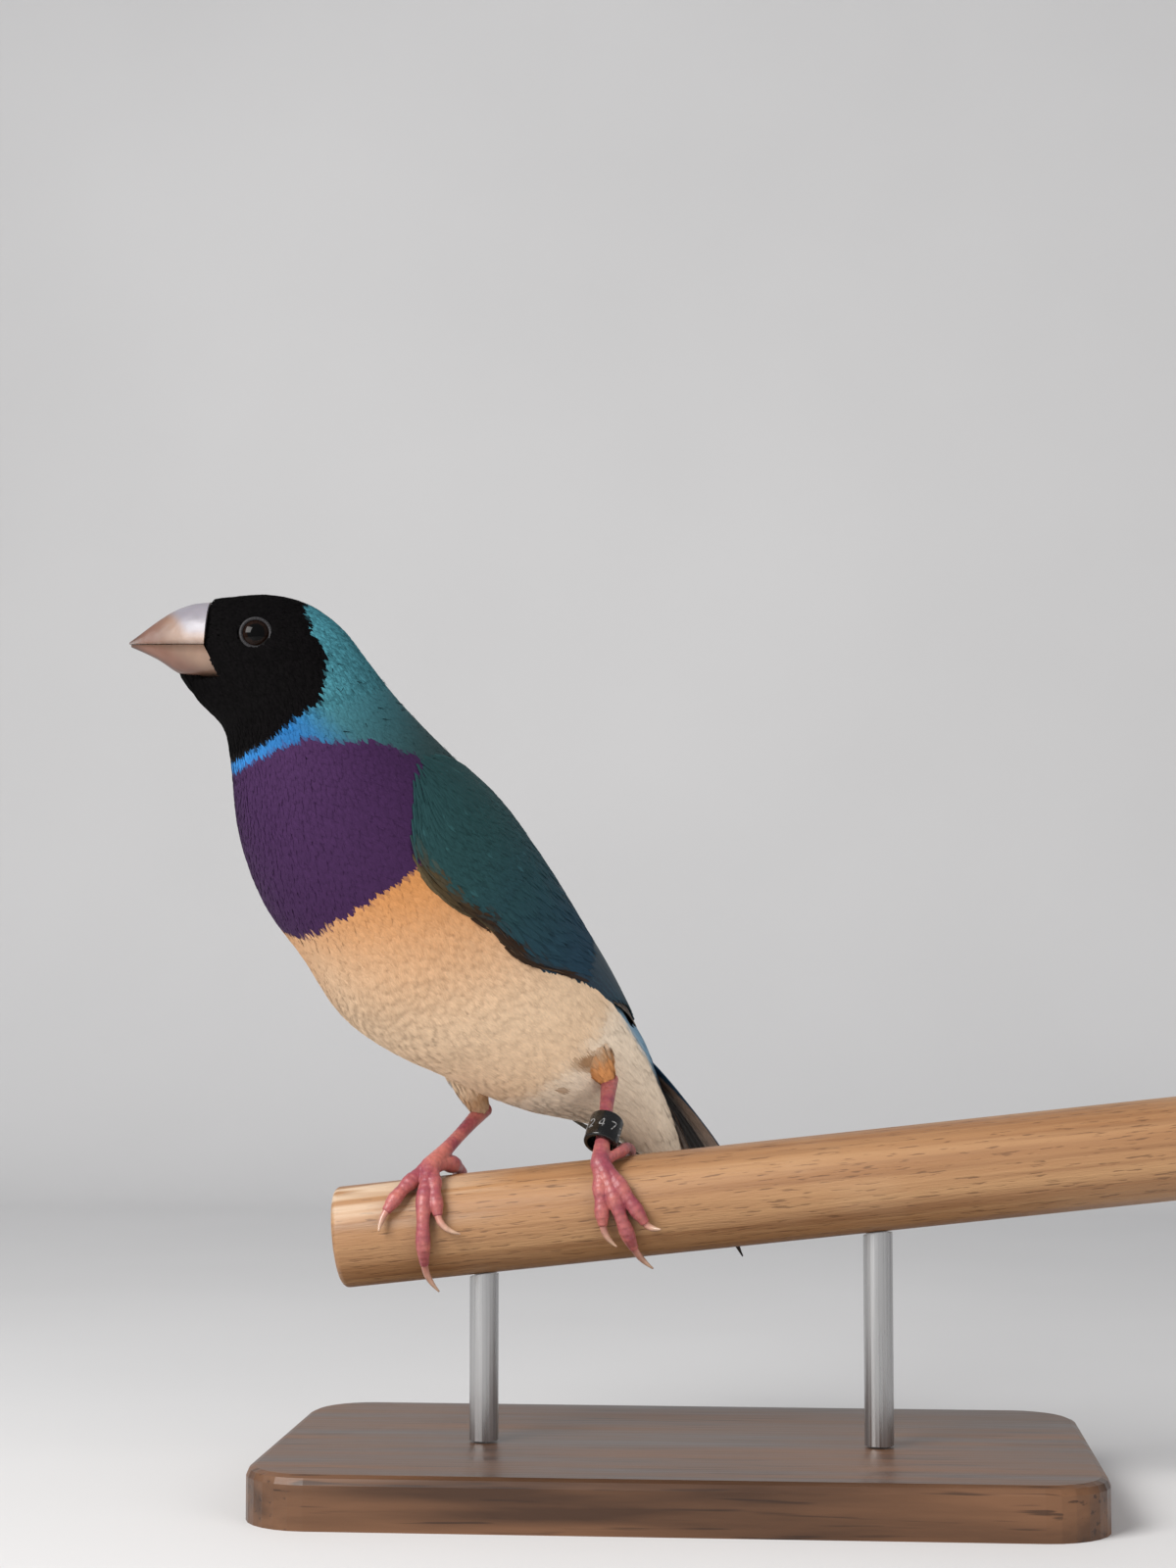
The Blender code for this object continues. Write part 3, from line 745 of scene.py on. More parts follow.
def soften(mesh, share):
    """Turns the normals most of the way to the body's own, so that the coat shades as one surface."""
    own = np.zeros(len(mesh.vertices) * 3, np.float32)
    body = np.zeros_like(own)
    mesh.vertex_normals.foreach_get("vector", own)
    mesh.attributes["up"].data.foreach_get("vector", body)
    blended = own.reshape(-1, 3) * (1 - share) + body.reshape(-1, 3) * share
    mesh.normals_split_custom_set_from_vertices(unit(blended))


SIZE_CHANGE = 0.12


def plant(name, roots, feather, finish, ruffle=1.6, seed=1, soft=0.78):
    """Makes a plain mesh of feathers from root points, which are a dict of arrays in millimetres."""
    mesh = bpy.data.meshes.new(name + "_roots")
    mesh.from_pydata(((roots["at"] + PLACE) * MM).tolist(), [], [])
    store(mesh, "lie", "FLOAT_VECTOR", roots["lie"])
    store(mesh, "up", "FLOAT_VECTOR", roots["up"])
    store(mesh, "size", "FLOAT_VECTOR", roots["size"] * MM)
    store(mesh, "tint", "FLOAT_COLOR", with_alpha(roots["tint"]))
    store(mesh, "shade", "FLOAT", DRAWS.random(len(roots["at"])))
    store(mesh, "root_uv", "FLOAT_VECTOR", roots["uv"])
    holder = shown(name + "_roots", mesh)
    set_inputs(holder.modifiers.new("plumage", "NODES"), PLUMAGE, {
        "Feather": feather, "Size change": SIZE_CHANGE, "Ruffle": math.radians(ruffle), "Seed": seed,
        "Finish": finish})
    made = plain_mesh(holder)
    made.name = name
    soften(made, soft)
    for spare in ("lie", "up", "size", "root_uv"):
        made.attributes.remove(made.attributes[spare])
    bpy.data.objects.remove(holder)
    triangles = sum(len(face.vertices) - 2 for face in made.polygons)
    maps = [layer.name for layer in made.uv_layers]
    print(f"{name}: {len(roots['at'])} feathers, {triangles} triangles, maps {maps}")
    return shown(name, made)


# %% [markdown]
# ## Planting the coat
#
# Real feathers grow in tracts, in staggered rows like roof tiles. Roots are set out row by row
# along the spine, evenly round each row, every other row shifted by half a step, then nudged at
# random so that no pattern shows. The direction of each feather is found, not guessed: its tip
# is placed on the true outline further along the body, and the feather points from root to tip.
# A feather takes the colour of the place where its tip lies, because that is the part that is seen.

# %% Eye and bill
EYE_AT = (6.95, 76.5)
EYE_RADIUS = 2.5
EYE_SUNK = 1.9
LID_RADIUS = 1.95
BILL_TIP = np.array((-59.9, -20.6, 77.0))
BILL_YAW = 4.7
BILL_PITCH = 3.0
BILL_BARE = 10.2
BILL_LOW = -4.6
BILL_HIGH = 6.0
BILL_SLANT = 0.68
EYE_BARE = LID_RADIUS + 0.18


def bill_axes():
    return (axis[0] for axis in axes_of(np.array([BILL_YAW]), np.array([BILL_PITCH])))


def eye_middle(side):
    return body_point(EYE_AT[0], side * EYE_AT[1], -EYE_SUNK)


print("middle of the left eye, mm:", eye_middle(1).round(1))


# %% Rows of roots
def steps_through(*pairs):
    knots = np.array(pairs, float)
    return lambda along: np.interp(along, knots[:, 0], knots[:, 1])


GAP_BETWEEN = steps_through(
    (0, 0.3), (6, 0.34), (18, 0.4), (30, 0.5), (50, 0.52), (64, 0.58), (BODY_LENGTH, 0.5))
FEATHER_LENGTH = steps_through(
    (0, 0.9), (6, 1.4), (18, 2.0), (30, 2.5), (42, 2.9), (50, 3.8), (85, 4.4), (BODY_LENGTH, 4.5))
FEATHER_WIDTH = steps_through(
    (0, 0.4), (6, 0.5), (20, 0.64), (30, 0.82), (45, 0.86), (85, 0.86), (BODY_LENGTH, 0.7))
ROW_SHARE = 0.82
NUDGE = 0.34


def row_gap(along):
    return GAP_BETWEEN(along) * ROW_SHARE


def staggered_roots(start, end):
    """(along, angle) of roots between two places on the spine; gaps change along it."""
    found_along, found_angle = [], []
    along, row = start, 0
    fine = np.linspace(0.0, 360.0, 181)
    while along < end:
        loop = lengths_along(body_point(along, fine))
        count = max(6, int(loop[-1] / GAP_BETWEEN(along)))
        marks = (np.arange(count) + 0.5 * (row % 2)) / count
        found_angle.append(np.interp(marks % 1.0, loop / loop[-1], fine))
        found_along.append(np.full(count, along))
        along += row_gap(along)
        row += 1
    along, angle = np.concatenate(found_along), np.concatenate(found_angle)
    nudge = DRAWS.uniform(-NUDGE, NUDGE, (2, len(along)))
    around = 360.0 / (2 * math.pi * 0.5 * (curve_through(SPINE, BODY, along)[:, 5:].sum(1)))
    return along + nudge[0] * row_gap(along), angle + nudge[1] * GAP_BETWEEN(along) * around


# %% Where no feather may lie
def beside_bill(points):
    """True where the bill's side has to stay bare; its hind edge slants back towards the chin."""
    forward, _, up = bill_axes()
    back, high = -(points - BILL_TIP) @ forward, (points - BILL_TIP) @ up
    return (back < BILL_BARE + BILL_SLANT * np.maximum(-high, 0.0)) & (high > BILL_LOW) & (high < BILL_HIGH)


def over_eye(points, side):
    """True where a feather would cross the bare ring round the eye."""
    out = body_normal(EYE_AT[0], side * EYE_AT[1])
    from_eye = points - eye_middle(side)
    ahead = from_eye @ out
    return (ahead > 0) & (np.linalg.norm(from_eye - ahead[:, None] * out, axis=1) < EYE_BARE)


# %% From root to tip
OUTLINE_LIFT = -0.16
SEEN_PART = 0.55
MAP_SHARE = 0.99
STRAY_DEGREES = 2.0
PROBE = 0.2
LEAST_TRAVEL = 0.35


def outline_lift(along, angle):
    """How far feather tips stand off the plain outline: just inside, but fluffed out at the vent."""
    return OUTLINE_LIFT + np.exp(-(((along - 89) / 8) ** 2)) * past(folded(angle), 158, 36)


SMUDGES = (((0.8, 3.0, 20.2), 2.9), ((-2.8, 3.0, 16.2), 1.1))


def smudged(tint, places):
    """Dusky smears on the belly, over and beside the left thigh."""
    for middle, size in SMUDGES:
        off = np.linalg.norm((places - middle) * (1.0, 0.3, 1.7), axis=1) / size
        tint = mix(tint, 1.1 * TINTS["dusk"], 0.9 * past(off, 0.8, -0.9))
    return tint


def root_rows(at, reach, up, width, depth, tint, uv):
    """What the planting tree needs of each root."""
    size = np.stack(np.broadcast_arrays(np.linalg.norm(reach, axis=1), width, depth), 1)
    return {"at": at, "lie": unit(reach), "up": up, "size": size, "tint": tint + 0 * at,
            "uv": np.stack([*uv, 0 * uv[1]], 1)}


def coat_roots(start, end, width, keep=None):
    """Roots for one length of the body, with lie, size, colour and place on the unwrap."""
    along, angle = staggered_roots(start, end)
    along = np.clip(along, 0.1, BODY_LENGTH - 0.5)
    if keep is not None:
        kept = keep(along, folded(angle))
        along, angle = along[kept], angle[kept]
    root = body_point(along, angle, outline_lift(along, angle))
    behind = PROBE * (along > 0.3)
    travel = np.linalg.norm(body_point(along + PROBE, angle) - body_point(along - behind, angle), axis=1)
    travel = np.maximum(travel / (PROBE + behind), LEAST_TRAVEL)
    ahead = along + FEATHER_LENGTH(along) / travel
    over = np.maximum(ahead - BODY_LENGTH, 0.0)
    ahead = np.minimum(ahead, BODY_LENGTH)
    around = DRAWS.uniform(-STRAY_DEGREES, STRAY_DEGREES, len(along))
    tip = body_point(ahead, angle + around, outline_lift(ahead, angle))
    forward = axes_of(*curve_through(SPINE, BODY, ahead)[:, 3:5].T)[0]
    tip = tip - forward * (over * travel)[:, None] * 0.6
    reach = tip - root
    sunk = np.interp(along, (40, 70), (0.8, 0.55)) * (coat_depth(along) + OUTLINE_LIFT)
    tint = smudged(plumage_tint(along + SEEN_PART * (ahead - along), angle), tip)
    uv = (angle % 360.0) / 360.0 * MAP_SHARE, (along - start) / (end - start) * MAP_SHARE
    roots = root_rows(root, reach, body_normal(along, angle), width(along), sunk, tint, uv)
    clear = np.ones(len(along), bool)
    for share in (0.35, 0.7, 1.0):
        place = root + reach * share
        clear &= ~(over_eye(place, 1) | over_eye(place, -1) | beside_bill(place))
    return {key: value[clear] for key, value in roots.items()}


# %% Head
HEAD_COAT_END = 18.5
BREAST_START = 29.0

head_roots = coat_roots(0.15, HEAD_COAT_END, FEATHER_WIDTH)
put(plant("coat_head", head_roots, VANE, MASK_PLUMAGE, seed=11), "mask_black")

# %% Chin
CHIN_BACK = (6.7, 9.7)
CHIN_DEPTH = (3.45, 4.2)
CHIN_HALF_WIDTH = (0.9, 2.6)
CHIN_LENGTH = (3.4, 2.0)
CHIN_SLOPE = (0.64, 0.77)


def chin_roots(rows=10, columns=13):
    """Feathers from between the arms of the lower mandible slope down to the throat."""
    forward, left, up = bill_axes()
    count = rows * columns
    grids = np.meshgrid(np.linspace(*CHIN_BACK, rows), np.linspace(-1.0, 1.0, columns))
    back = grids[0].ravel() + DRAWS.uniform(-0.12, 0.12, count)
    aside = grids[1].ravel() + DRAWS.uniform(-0.05, 0.05, count)
    half = np.interp(back, CHIN_BACK, CHIN_HALF_WIDTH)
    high = 0.4 * aside**2 - np.interp(back, CHIN_BACK, CHIN_DEPTH)
    at = BILL_TIP + np.outer(half * aside, left) + np.outer(high, up) - np.outer(back, forward)
    level, steep = CHIN_SLOPE
    lie = unit(np.outer(0.15 * aside, left) - level * forward - steep * up)
    out = unit(np.outer(0.6 * aside, left) + steep * forward - level * up)
    uv = 0.5 + 0.42 * aside, (back - 6.4) / 3.6
    reach = lie * np.interp(back, CHIN_BACK, CHIN_LENGTH)[:, None]
    return root_rows(at, reach, out, 0.75, 0.3, TINTS["mask"], uv)


put(plant("coat_chin", chin_roots(), VANE, MASK_PLUMAGE, seed=19), "mask_black")

# %% Nape
nape_roots = coat_roots(HEAD_COAT_END, BREAST_START, FEATHER_WIDTH)
put(plant("coat_nape", nape_roots, VANE, SOFT_PLUMAGE, ruffle=1.2, seed=12, soft=0.84), "nape_turquoise")


def loose_hairs(count):
    """A few dark hair-like feathers stand clear of the turquoise."""
    along, angle = DRAWS.uniform(13, 36, count), DRAWS.uniform(-112, 112, count)
    kept = (along > edge_at(MASK_EDGE, folded(angle)) + 0.5) & (along < edge_at(PURPLE_TOP, folded(angle)))
    along, angle = along[kept], angle[kept]
    at = body_point(along, angle, 0.0)
    ahead = along + DRAWS.uniform(0.35, 0.9, len(along))
    reach = body_point(ahead, angle + DRAWS.uniform(-6, 6, len(along)), 0.02) - at
    uv = (angle % 360.0) / 360.0, along / BODY_LENGTH
    return root_rows(at, reach, body_normal(along, angle), 0.09, 0.1, TINTS["mask"], uv)


put(plant("nape_hairs", loose_hairs(130), HAIR, MASK_PLUMAGE, seed=18), "mask_black")

# %% [markdown]
# ## Where the wings cover the body
#
# Feathers under a folded wing are never seen, and they would only poke through it. The wing's
# own edges, as angles round the body, tell which roots to leave out.

# %% Wing edges
WING_ALONG = (29.6, 33.4, 37.2, 41.0, 47.0, 52.0, 57.0, 62.3, 66.5, 73.0, 78.2, 83.5, 89.5)
WING_LOWER = (66.0, 86.0, 101.0, 106.0, 105.0, 98.0, 97.0, 94.0, 86.0, 75.0, 68.0, 60.0, 34.0)
WING_UPPER = (58.0, 40.0, 30.0, 26.0, 22.0, 19.0, 17.0, 15.0, 14.0, 12.0, 11.0, 10.0, 9.0)
WING_COVER_START = 31.0
BACK_EDGE = 58


def wing_edges(along):
    """The angles from the back of a wing's upper and lower edge."""
    along = np.clip(along, WING_ALONG[0], WING_ALONG[-1])
    return curve_through(WING_ALONG, WING_UPPER, along), curve_through(WING_ALONG, WING_LOWER, along)


def outside_wings(along, fold):
    """True where a feather's root isn't deep under a folded wing."""
    within = (along > WING_COVER_START) & (along < WING_ALONG[-1] - 3)
    upper, lower = wing_edges(along)
    return ~(within & (fold < lower - 4) & (fold > upper + 6))


def is_front(along, fold):
    return outside_wings(along, fold) & (fold > BACK_EDGE)


def is_back(along, fold):
    return outside_wings(along, fold) & (fold <= BACK_EDGE)


print("wing edges at 60 mm, in degrees:", [round(float(edge)) for edge in wing_edges(60.0)])

# %% Breast, belly, back and vent
BELLY_START = 42.5
VENT_START = 68.0
COAT_END = BODY_LENGTH - 1.0
LOCK_WIDTH = steps_through((40, 1.0), (60, 1.15), (85, 1.15), (BODY_LENGTH, 0.9))

breast_roots = coat_roots(BREAST_START, BELLY_START, FEATHER_WIDTH, is_front)
coat_breast = plant("coat_breast", breast_roots, VANE, SOFT_PLUMAGE, ruffle=1.0, seed=13, soft=0.93)
put(coat_breast, "breast_and_belly")

belly_roots = coat_roots(BELLY_START, VENT_START, LOCK_WIDTH, is_front)
put(plant("coat_belly", belly_roots, LOCK, SOFT_PLUMAGE, ruffle=1.0, seed=14, soft=0.9), "breast_and_belly")

vent_roots = coat_roots(VENT_START, COAT_END, LOCK_WIDTH, is_front)
put(plant("coat_vent", vent_roots, LOCK, SOFT_PLUMAGE, ruffle=1.2, seed=15, soft=0.9), "breast_and_belly")

back_roots = coat_roots(BREAST_START, COAT_END, FEATHER_WIDTH, is_back)
put(plant("coat_back", back_roots, VANE, SOFT_PLUMAGE, seed=16), "nape_turquoise")

# %% [markdown]
# ## Feathered thighs
#
# Short soft feathers run down each thigh and close over the heel. The left one is stained
# orange where it meets the leg. The same planting tree does it; only the roots are different.

# %% Thigh roots
THIGH_FEATHER = 2.6


def thigh_roots(side, count_along=22, count_round=34):
    path = fine_path(np.array(THIGHS[side]), 60)
    knots = lengths_along(path)
    share = np.repeat(np.linspace(0.02, 0.97, count_along), count_round)
    share = np.clip(share + DRAWS.uniform(-0.02, 0.02, len(share)), 0.0, 0.985)
    shifts = 0.5 * np.repeat(np.arange(count_along) % 2, count_round)
    turns = np.tile(np.arange(count_round), count_along) + shifts
    turns = (turns + DRAWS.uniform(-0.4, 0.4, len(turns))) * 2 * math.pi / count_round

    def on_thigh(share, lift):
        at = np.clip(share, 0, 1) * knots[-1]
        middle = curve_through(knots, path, at)
        ahead = curve_through(knots, path, np.minimum(at + 0.1, knots[-1]))
        along = unit(ahead - curve_through(knots, path, np.maximum(at - 0.1, 0)))
        radius = curve_through(np.linspace(0, knots[-1], 3), THIGH_RADII[side], at) + lift
        across = unit(np.cross(along, SIDE_GUIDE))
        out = across * np.cos(turns)[:, None] + np.cross(along, across) * np.sin(turns)[:, None]
        return middle + out * radius[:, None], out

    root, out = on_thigh(share, -0.12)
    tip, _ = on_thigh(share + THIGH_FEATHER / knots[-1], -0.1)
    tip = tip + (tip - root) * (0.5 * past(share, 0.85, 0.2))[:, None]
    left = side == "left"
    dusk = TINTS["dusk"] * 1.4
    above = mix(TINTS["vent"], TINTS["stain"], 0.3) if left else TINTS["cream"]
    start = 0.3 if left else 0.5
    tint = mix(above, dusk, 0.75 * past(share, start, 0.25))
    tint = mix(tint, THIGH_TINTS[side], past(share, start + 0.2, 0.25))
    return root_rows(root, tip - root, out, 0.7, THIGH_COAT, tint, (turns / 7.0, share))


for side in ("left", "right"):
    coat_thigh = plant(f"coat_thigh_{side}", thigh_roots(side), LOCK, SOFT_PLUMAGE, ruffle=5.0, seed=20)
    put(coat_thigh, "thigh_buff")

# %% [markdown]
# ## Long feathers of the wing
#
# A folded wing is a stack: small coverts over the shoulder, then longer ones, then the
# secondaries, and the primaries that reach out under them to the wing's tip. Long feathers
# can't be stamped from one shape, because each bends with the body. Each is a thin closed strip
# laid in the wing's own coordinates: how far from shoulder to tip, and how far from its upper
# to its lower edge. Each upper feather lies a little over its lower neighbour.

# %% A place on the wing
WING_TIP_RISE = 0.2


def wing_point(side, share, across, lift):
    """Places on the folded wing: 0 to 1 from shoulder to tip and from upper to lower edge."""
    share, across, lift = np.broadcast_arrays(np.asarray(share, float), across, lift)
    along = WING_ALONG[0] + np.clip(share, 0, 1) * (WING_ALONG[-1] - WING_ALONG[0])
    upper, lower = wing_edges(along)
    angle = upper + across * (lower - upper)
    rise = WING_TIP_RISE * np.maximum(0.0, share - 0.7) / 0.3
    return body_point(along, side * angle, rise + lift)


def wing_span(side, share):
    """How wide the folded wing is, over its curved face, at each place along it."""
    strip = wing_point(side, np.asarray(share)[:, None], np.linspace(0, 1, 9)[None, :], 0.0)
    return np.linalg.norm(np.diff(strip, axis=1), axis=2).sum(1)


print("width of the left wing at its middle, mm:", wing_span(1, [0.5]).round(1))

# %% One long feather
LongFeather = namedtuple(
    "LongFeather", "start end across_start across_end half_width lift tint edge_tint point")
FEATHER_STEPS = 26
FEATHER_ACROSS = 7
FEATHER_THICK = 0.11


def vane_outline(share, point):
    """Half the width of a long feather, from 0 to 1, at shares of its length."""
    root = np.clip(share / 0.12, 0, 1) ** 0.5
    tip = np.clip((1 - share) / point, 0, 1) ** 0.62
    return (0.25 + 0.75 * root) * tip + 0.004


def sheet_place(t, x):
    """Where each point of a strip lies, for its barbs: along, across and nothing."""
    return np.stack(np.broadcast_arrays(t[:, None] * 3.0, x[None, :] * 0.5, 0 * t[:, None]), -1)


def long_feather(side, plan):
    """Points, tints and places of one strip: a top sheet, an under sheet and the edge between."""
    t = np.linspace(0.0, 1.0, FEATHER_STEPS)
    share = plan.start + (plan.end - plan.start) * t
    centre = plan.across_start + (plan.across_end - plan.across_start) * t
    half = plan.half_width * vane_outline(t, plan.point) / wing_span(side, share)
    x = np.linspace(-1.0, 1.0, FEATHER_ACROSS)
    across = centre[:, None] + half[:, None] * x[None, :]
    camber = 0.12 * (1 - x**2)[None, :] + 0.05 * x[None, :]
    shaft = 0.07 * np.exp(-((x - 0.1) / 0.16) ** 2)[None, :]
    lift = plan.lift + camber + shaft - 0.5 * (1 - t[:, None]) ** 6
    top = wing_point(side, share[:, None], across, lift)
    under = wing_point(side, share[:, None], across, lift - FEATHER_THICK - shaft)
    tone = mix(plan.tint, plan.edge_tint, past(x, 0.72, 0.5) * np.ones((FEATHER_STEPS, 1)))
    return top, under, tone, sheet_place(t, x)


# %% Strips joined into one piece
def strip_faces(rows, columns):
    """Faces of a closed strip whose top and under sheets are grids of the same size."""
    faces = []

    def at(row, column, level):
        return (level * rows + row) * columns + column

    for i in range(rows - 1):
        for j in range(columns - 1):
            faces.append((at(i, j, 0), at(i, j + 1, 0), at(i + 1, j + 1, 0), at(i + 1, j, 0)))
            faces.append((at(i, j, 1), at(i + 1, j, 1), at(i + 1, j + 1, 1), at(i, j + 1, 1)))
        for j, order in ((0, 1), (columns - 1, -1)):
            wall = (at(i, j, 0), at(i + 1, j, 0), at(i + 1, j, 1), at(i, j, 1))
            faces.append(wall[::order])
    for i, order in ((0, -1), (rows - 1, 1)):
        for j in range(columns - 1):
            wall = (at(i, j, 0), at(i, j + 1, 0), at(i, j + 1, 1), at(i, j, 1))
            faces.append(wall[::order])
    return faces


def join_strips(name, strips, finish):
    """One mesh from many long feathers, each with its own strip of the unwrap."""
    shapes, tints, places, shades, maps = [], [], [], [], []
    for i, (top, under, tone, place) in enumerate(strips):
        rows, columns = top.shape[:2]
        shapes.append((np.reshape([top, under], (-1, 3)), strip_faces(rows, columns)))
        tints.append(np.tile(tone.reshape(-1, 3), (2, 1)) * np.repeat([1.0, 0.8], rows * columns)[:, None])
        places.append(np.tile(place.reshape(-1, 3), (2, 1)))
        shades.append(np.full(2 * rows * columns, DRAWS.random()))
        across = (i + 0.5 + 0.8 * place[..., 1].ravel()) / len(strips)
        up = np.tile(np.linspace(0, 0.49, rows)[:, None], (1, columns)).ravel()
        maps.append(np.concatenate([np.stack([across, up], 1), np.stack([across, up + 0.5], 1)]))
    points, faces = join_shapes(shapes)
    obj = new_piece(name, points, faces, finish, np.concatenate(tints), np.concatenate(places))
    store(obj.data, "shade", "FLOAT", np.concatenate(shades))
    corner = vertex_of_corners(obj.data)
    layer = obj.data.uv_layers.new(name="OFBake")
    layer.data.foreach_set("uv", np.concatenate(maps)[corner].astype(np.float32).ravel())
    print(f"{name}: {len(strips)} long feathers, {len(faces)} faces")
    return obj


# %% Which long feathers a wing has
WING_TINTS = {
    "primary": (0.05, 0.038, 0.03),
    "primary_edge": (0.15, 0.115, 0.085),
    "secondary": (0.014, 0.034, 0.056),
    "secondary_edge": (0.025, 0.07, 0.1),
    "tertial": (0.014, 0.04, 0.055),
    "brown": (0.035, 0.02, 0.012),
    "brown_edge": (0.2, 0.12, 0.07),
    "olive": (0.09, 0.065, 0.03),
    "shoulder": (0.021, 0.066, 0.07),
    "blue": (0.018, 0.047, 0.076),
}
WING_TINTS = {name: np.array(value) for name, value in WING_TINTS.items()}


def wing_plan():
    """Thin brown strips along the lower edge, then seven primaries and nine secondaries."""
    brown, pale = WING_TINTS["brown"], WING_TINTS["brown_edge"]
    plans = []
    for i in range(6):
        k = i / 5
        tone = mix(WING_TINTS["olive"], brown * 0.55, min(1.0, 1.6 * k))
        plans.append(LongFeather(
            0.1 + 0.035 * i, 0.34 + 0.06 * i, 1.0 - 0.013 * i, 1.0 - 0.006 * i, 0.5 - 0.02 * i,
            -0.18 + 0.04 * i, tone, mix(WING_TINTS["olive"], pale, k), 0.5))
    for i in range(7):
        k = i / 6
        plans.append(LongFeather(
            0.3, 1.0 - 0.03 * i, 0.55 + 0.34 * k, 0.35 + 0.57 * k, 2.2, -0.42 - 0.02 * i,
            WING_TINTS["primary"], WING_TINTS["primary_edge"], 0.16))
    for i in range(9):
        k = i / 8
        tone = mix(WING_TINTS["secondary"], WING_TINTS["tertial"], 1 - k)
        plans.append(LongFeather(
            0.14 + 0.02 * i, 0.965 - 0.016 * i, 0.1 + 0.8 * k, 0.2 + 0.7 * k, 2.5, 0.08 - 0.05 * i,
            tone, WING_TINTS["secondary_edge"], 0.35))
    return plans


for side, sign in (("left", 1), ("right", -1)):
    strips = [long_feather(sign, plan) for plan in wing_plan()]
    put(join_strips(f"wing_quills_{side}", strips, WING_PLUMAGE), "wing_teal", f"wing_{side}")

# %% [markdown]
# ## Wing coverts
#
# Over the quills lie rows of coverts, largest at their lower end. They are again small vanes,
# so the planting tree makes them, from roots set out on the wing instead of on the body.

# %% Covert roots
WING_LONG = 61.0
WING_WIDE = 22.0


def wing_tint(share, across):
    tone = mix(WING_TINTS["shoulder"], WING_TINTS["blue"], past(share, 0.4, 0.5))
    streak = DRAWS.random(len(share))
    tone = tone * (1 + 0.45 * (streak > 0.965) - 0.22 * (streak < 0.06))[:, None]
    low = past(across + DRAWS.uniform(-0.03, 0.03, len(share)), 0.935, 0.05) * past(share, 0.13, 0.1)
    return mix(tone, mix(WING_TINTS["brown"], WING_TINTS["olive"], 0.7 * past(share, 0.26, -0.16)), low)


def covert_roots(sign, rows, start, end, gap, length, width, lift, reach_down=1.0, top=0.0):
    """Staggered rows on the wing, from start to end of it and from its top edge down."""
    shares, acrosses = [], []
    for i, share in enumerate(np.linspace(start, end, rows)):
        wide = wing_span(sign, [share])[0]
        count = max(3, int(wide * (reach_down - top) / gap))
        marks = top + (np.arange(count) + 0.5 * (i % 2)) / count * (reach_down - top)
        shares.append(np.full(count, share))
        acrosses.append(marks)
    share, across = np.concatenate(shares), np.concatenate(acrosses)
    step = (end - start) / rows
    share = np.clip(share + DRAWS.uniform(-0.45, 0.45, len(share)) * step, 0.0, 1.0)
    across = across + DRAWS.uniform(-0.4, 0.4, len(across)) * gap / WING_WIDE
    lift = lift * past(share, 0.07, 0.14)
    root = wing_point(sign, share, across, lift)
    tip = wing_point(sign, share + length / WING_LONG, across, lift + 0.03)
    up = unit(wing_point(sign, share, across, 1.0) - wing_point(sign, share, across, 0.0))
    return root_rows(root, tip - root, up, width, 0.4, wing_tint(share, across), (across * 0.98, share))


GREAT = dict(rows=44, start=0.06, end=0.62, gap=0.75, length=6.0, width=0.95, lift=0.14, reach_down=0.96)
SMALL = dict(rows=38, start=0.0, end=0.34, gap=0.5, length=3.0, width=0.66, lift=0.22, reach_down=0.97)
RIM = dict(rows=30, start=0.06, end=0.5, gap=0.45, length=3.4, width=0.5, lift=0.03, top=0.9)

for side, sign in (("left", 1), ("right", -1)):
    great, small = covert_roots(sign, **GREAT), covert_roots(sign, **SMALL)
    both = {key: np.concatenate([great[key], small[key]]) for key in great}
    put(plant(f"wing_coverts_{side}", both, VANE, SOFT_PLUMAGE, ruffle=1.2, seed=30), "wing_teal")
    rim = covert_roots(sign, **RIM)
    put(plant(f"wing_rim_{side}", rim, VANE, SOFT_PLUMAGE, ruffle=7.0, seed=31), "wing_teal")

# %% [markdown]
# ## The tail
#
# Twelve feathers make a small fan. The middle pair is drawn out into fine points. From the
# front the greyish-brown undersides show; the tops are black, with a painted blue sheen along
# their outer vanes.

# %% A place on the tail
TAIL_AXIS = np.array((
    (-1.0, 15.5, 27.0), (3.0, 19.2, 22.5), (8.5, 24.2, 15.6), (14.4, 30.0, 3.4), (20.2, 35.0, -9.2),
))
TAIL_YAW = 50.0
TAIL_HALF_WIDTH = (2.8, 5.0, 5.6, 9.0, 0.4)
TAIL_ARCH = 0.12
TAIL_KNOTS = lengths_along(TAIL_AXIS)
TAIL_LEFT = axes_of(np.array(TAIL_YAW), np.array(0.0))[1]


def tail_point(share, aside, lift):
    """Places on the fan: share of its length, mm to the bird's left and mm above its middle."""
    share, aside, lift = np.broadcast_arrays(np.asarray(share, float), aside, lift)
    at = share * TAIL_KNOTS[-1]
    middle = curve_through(TAIL_KNOTS, TAIL_AXIS, at)
    ahead = curve_through(TAIL_KNOTS, TAIL_AXIS, np.minimum(at + 0.5, TAIL_KNOTS[-1]))
    behind = curve_through(TAIL_KNOTS, TAIL_AXIS, np.maximum(at - 0.5, 0.0))
    top = np.cross(TAIL_LEFT, unit(ahead - behind))
    half = np.maximum(curve_through(TAIL_KNOTS, TAIL_HALF_WIDTH, at), 0.4)
    droop = -TAIL_ARCH * half * (aside / half) ** 2
    return middle + TAIL_LEFT * aside[..., None] + top * (lift + droop)[..., None]


print("length of the tail in mm:", round(float(TAIL_KNOTS[-1]), 1))

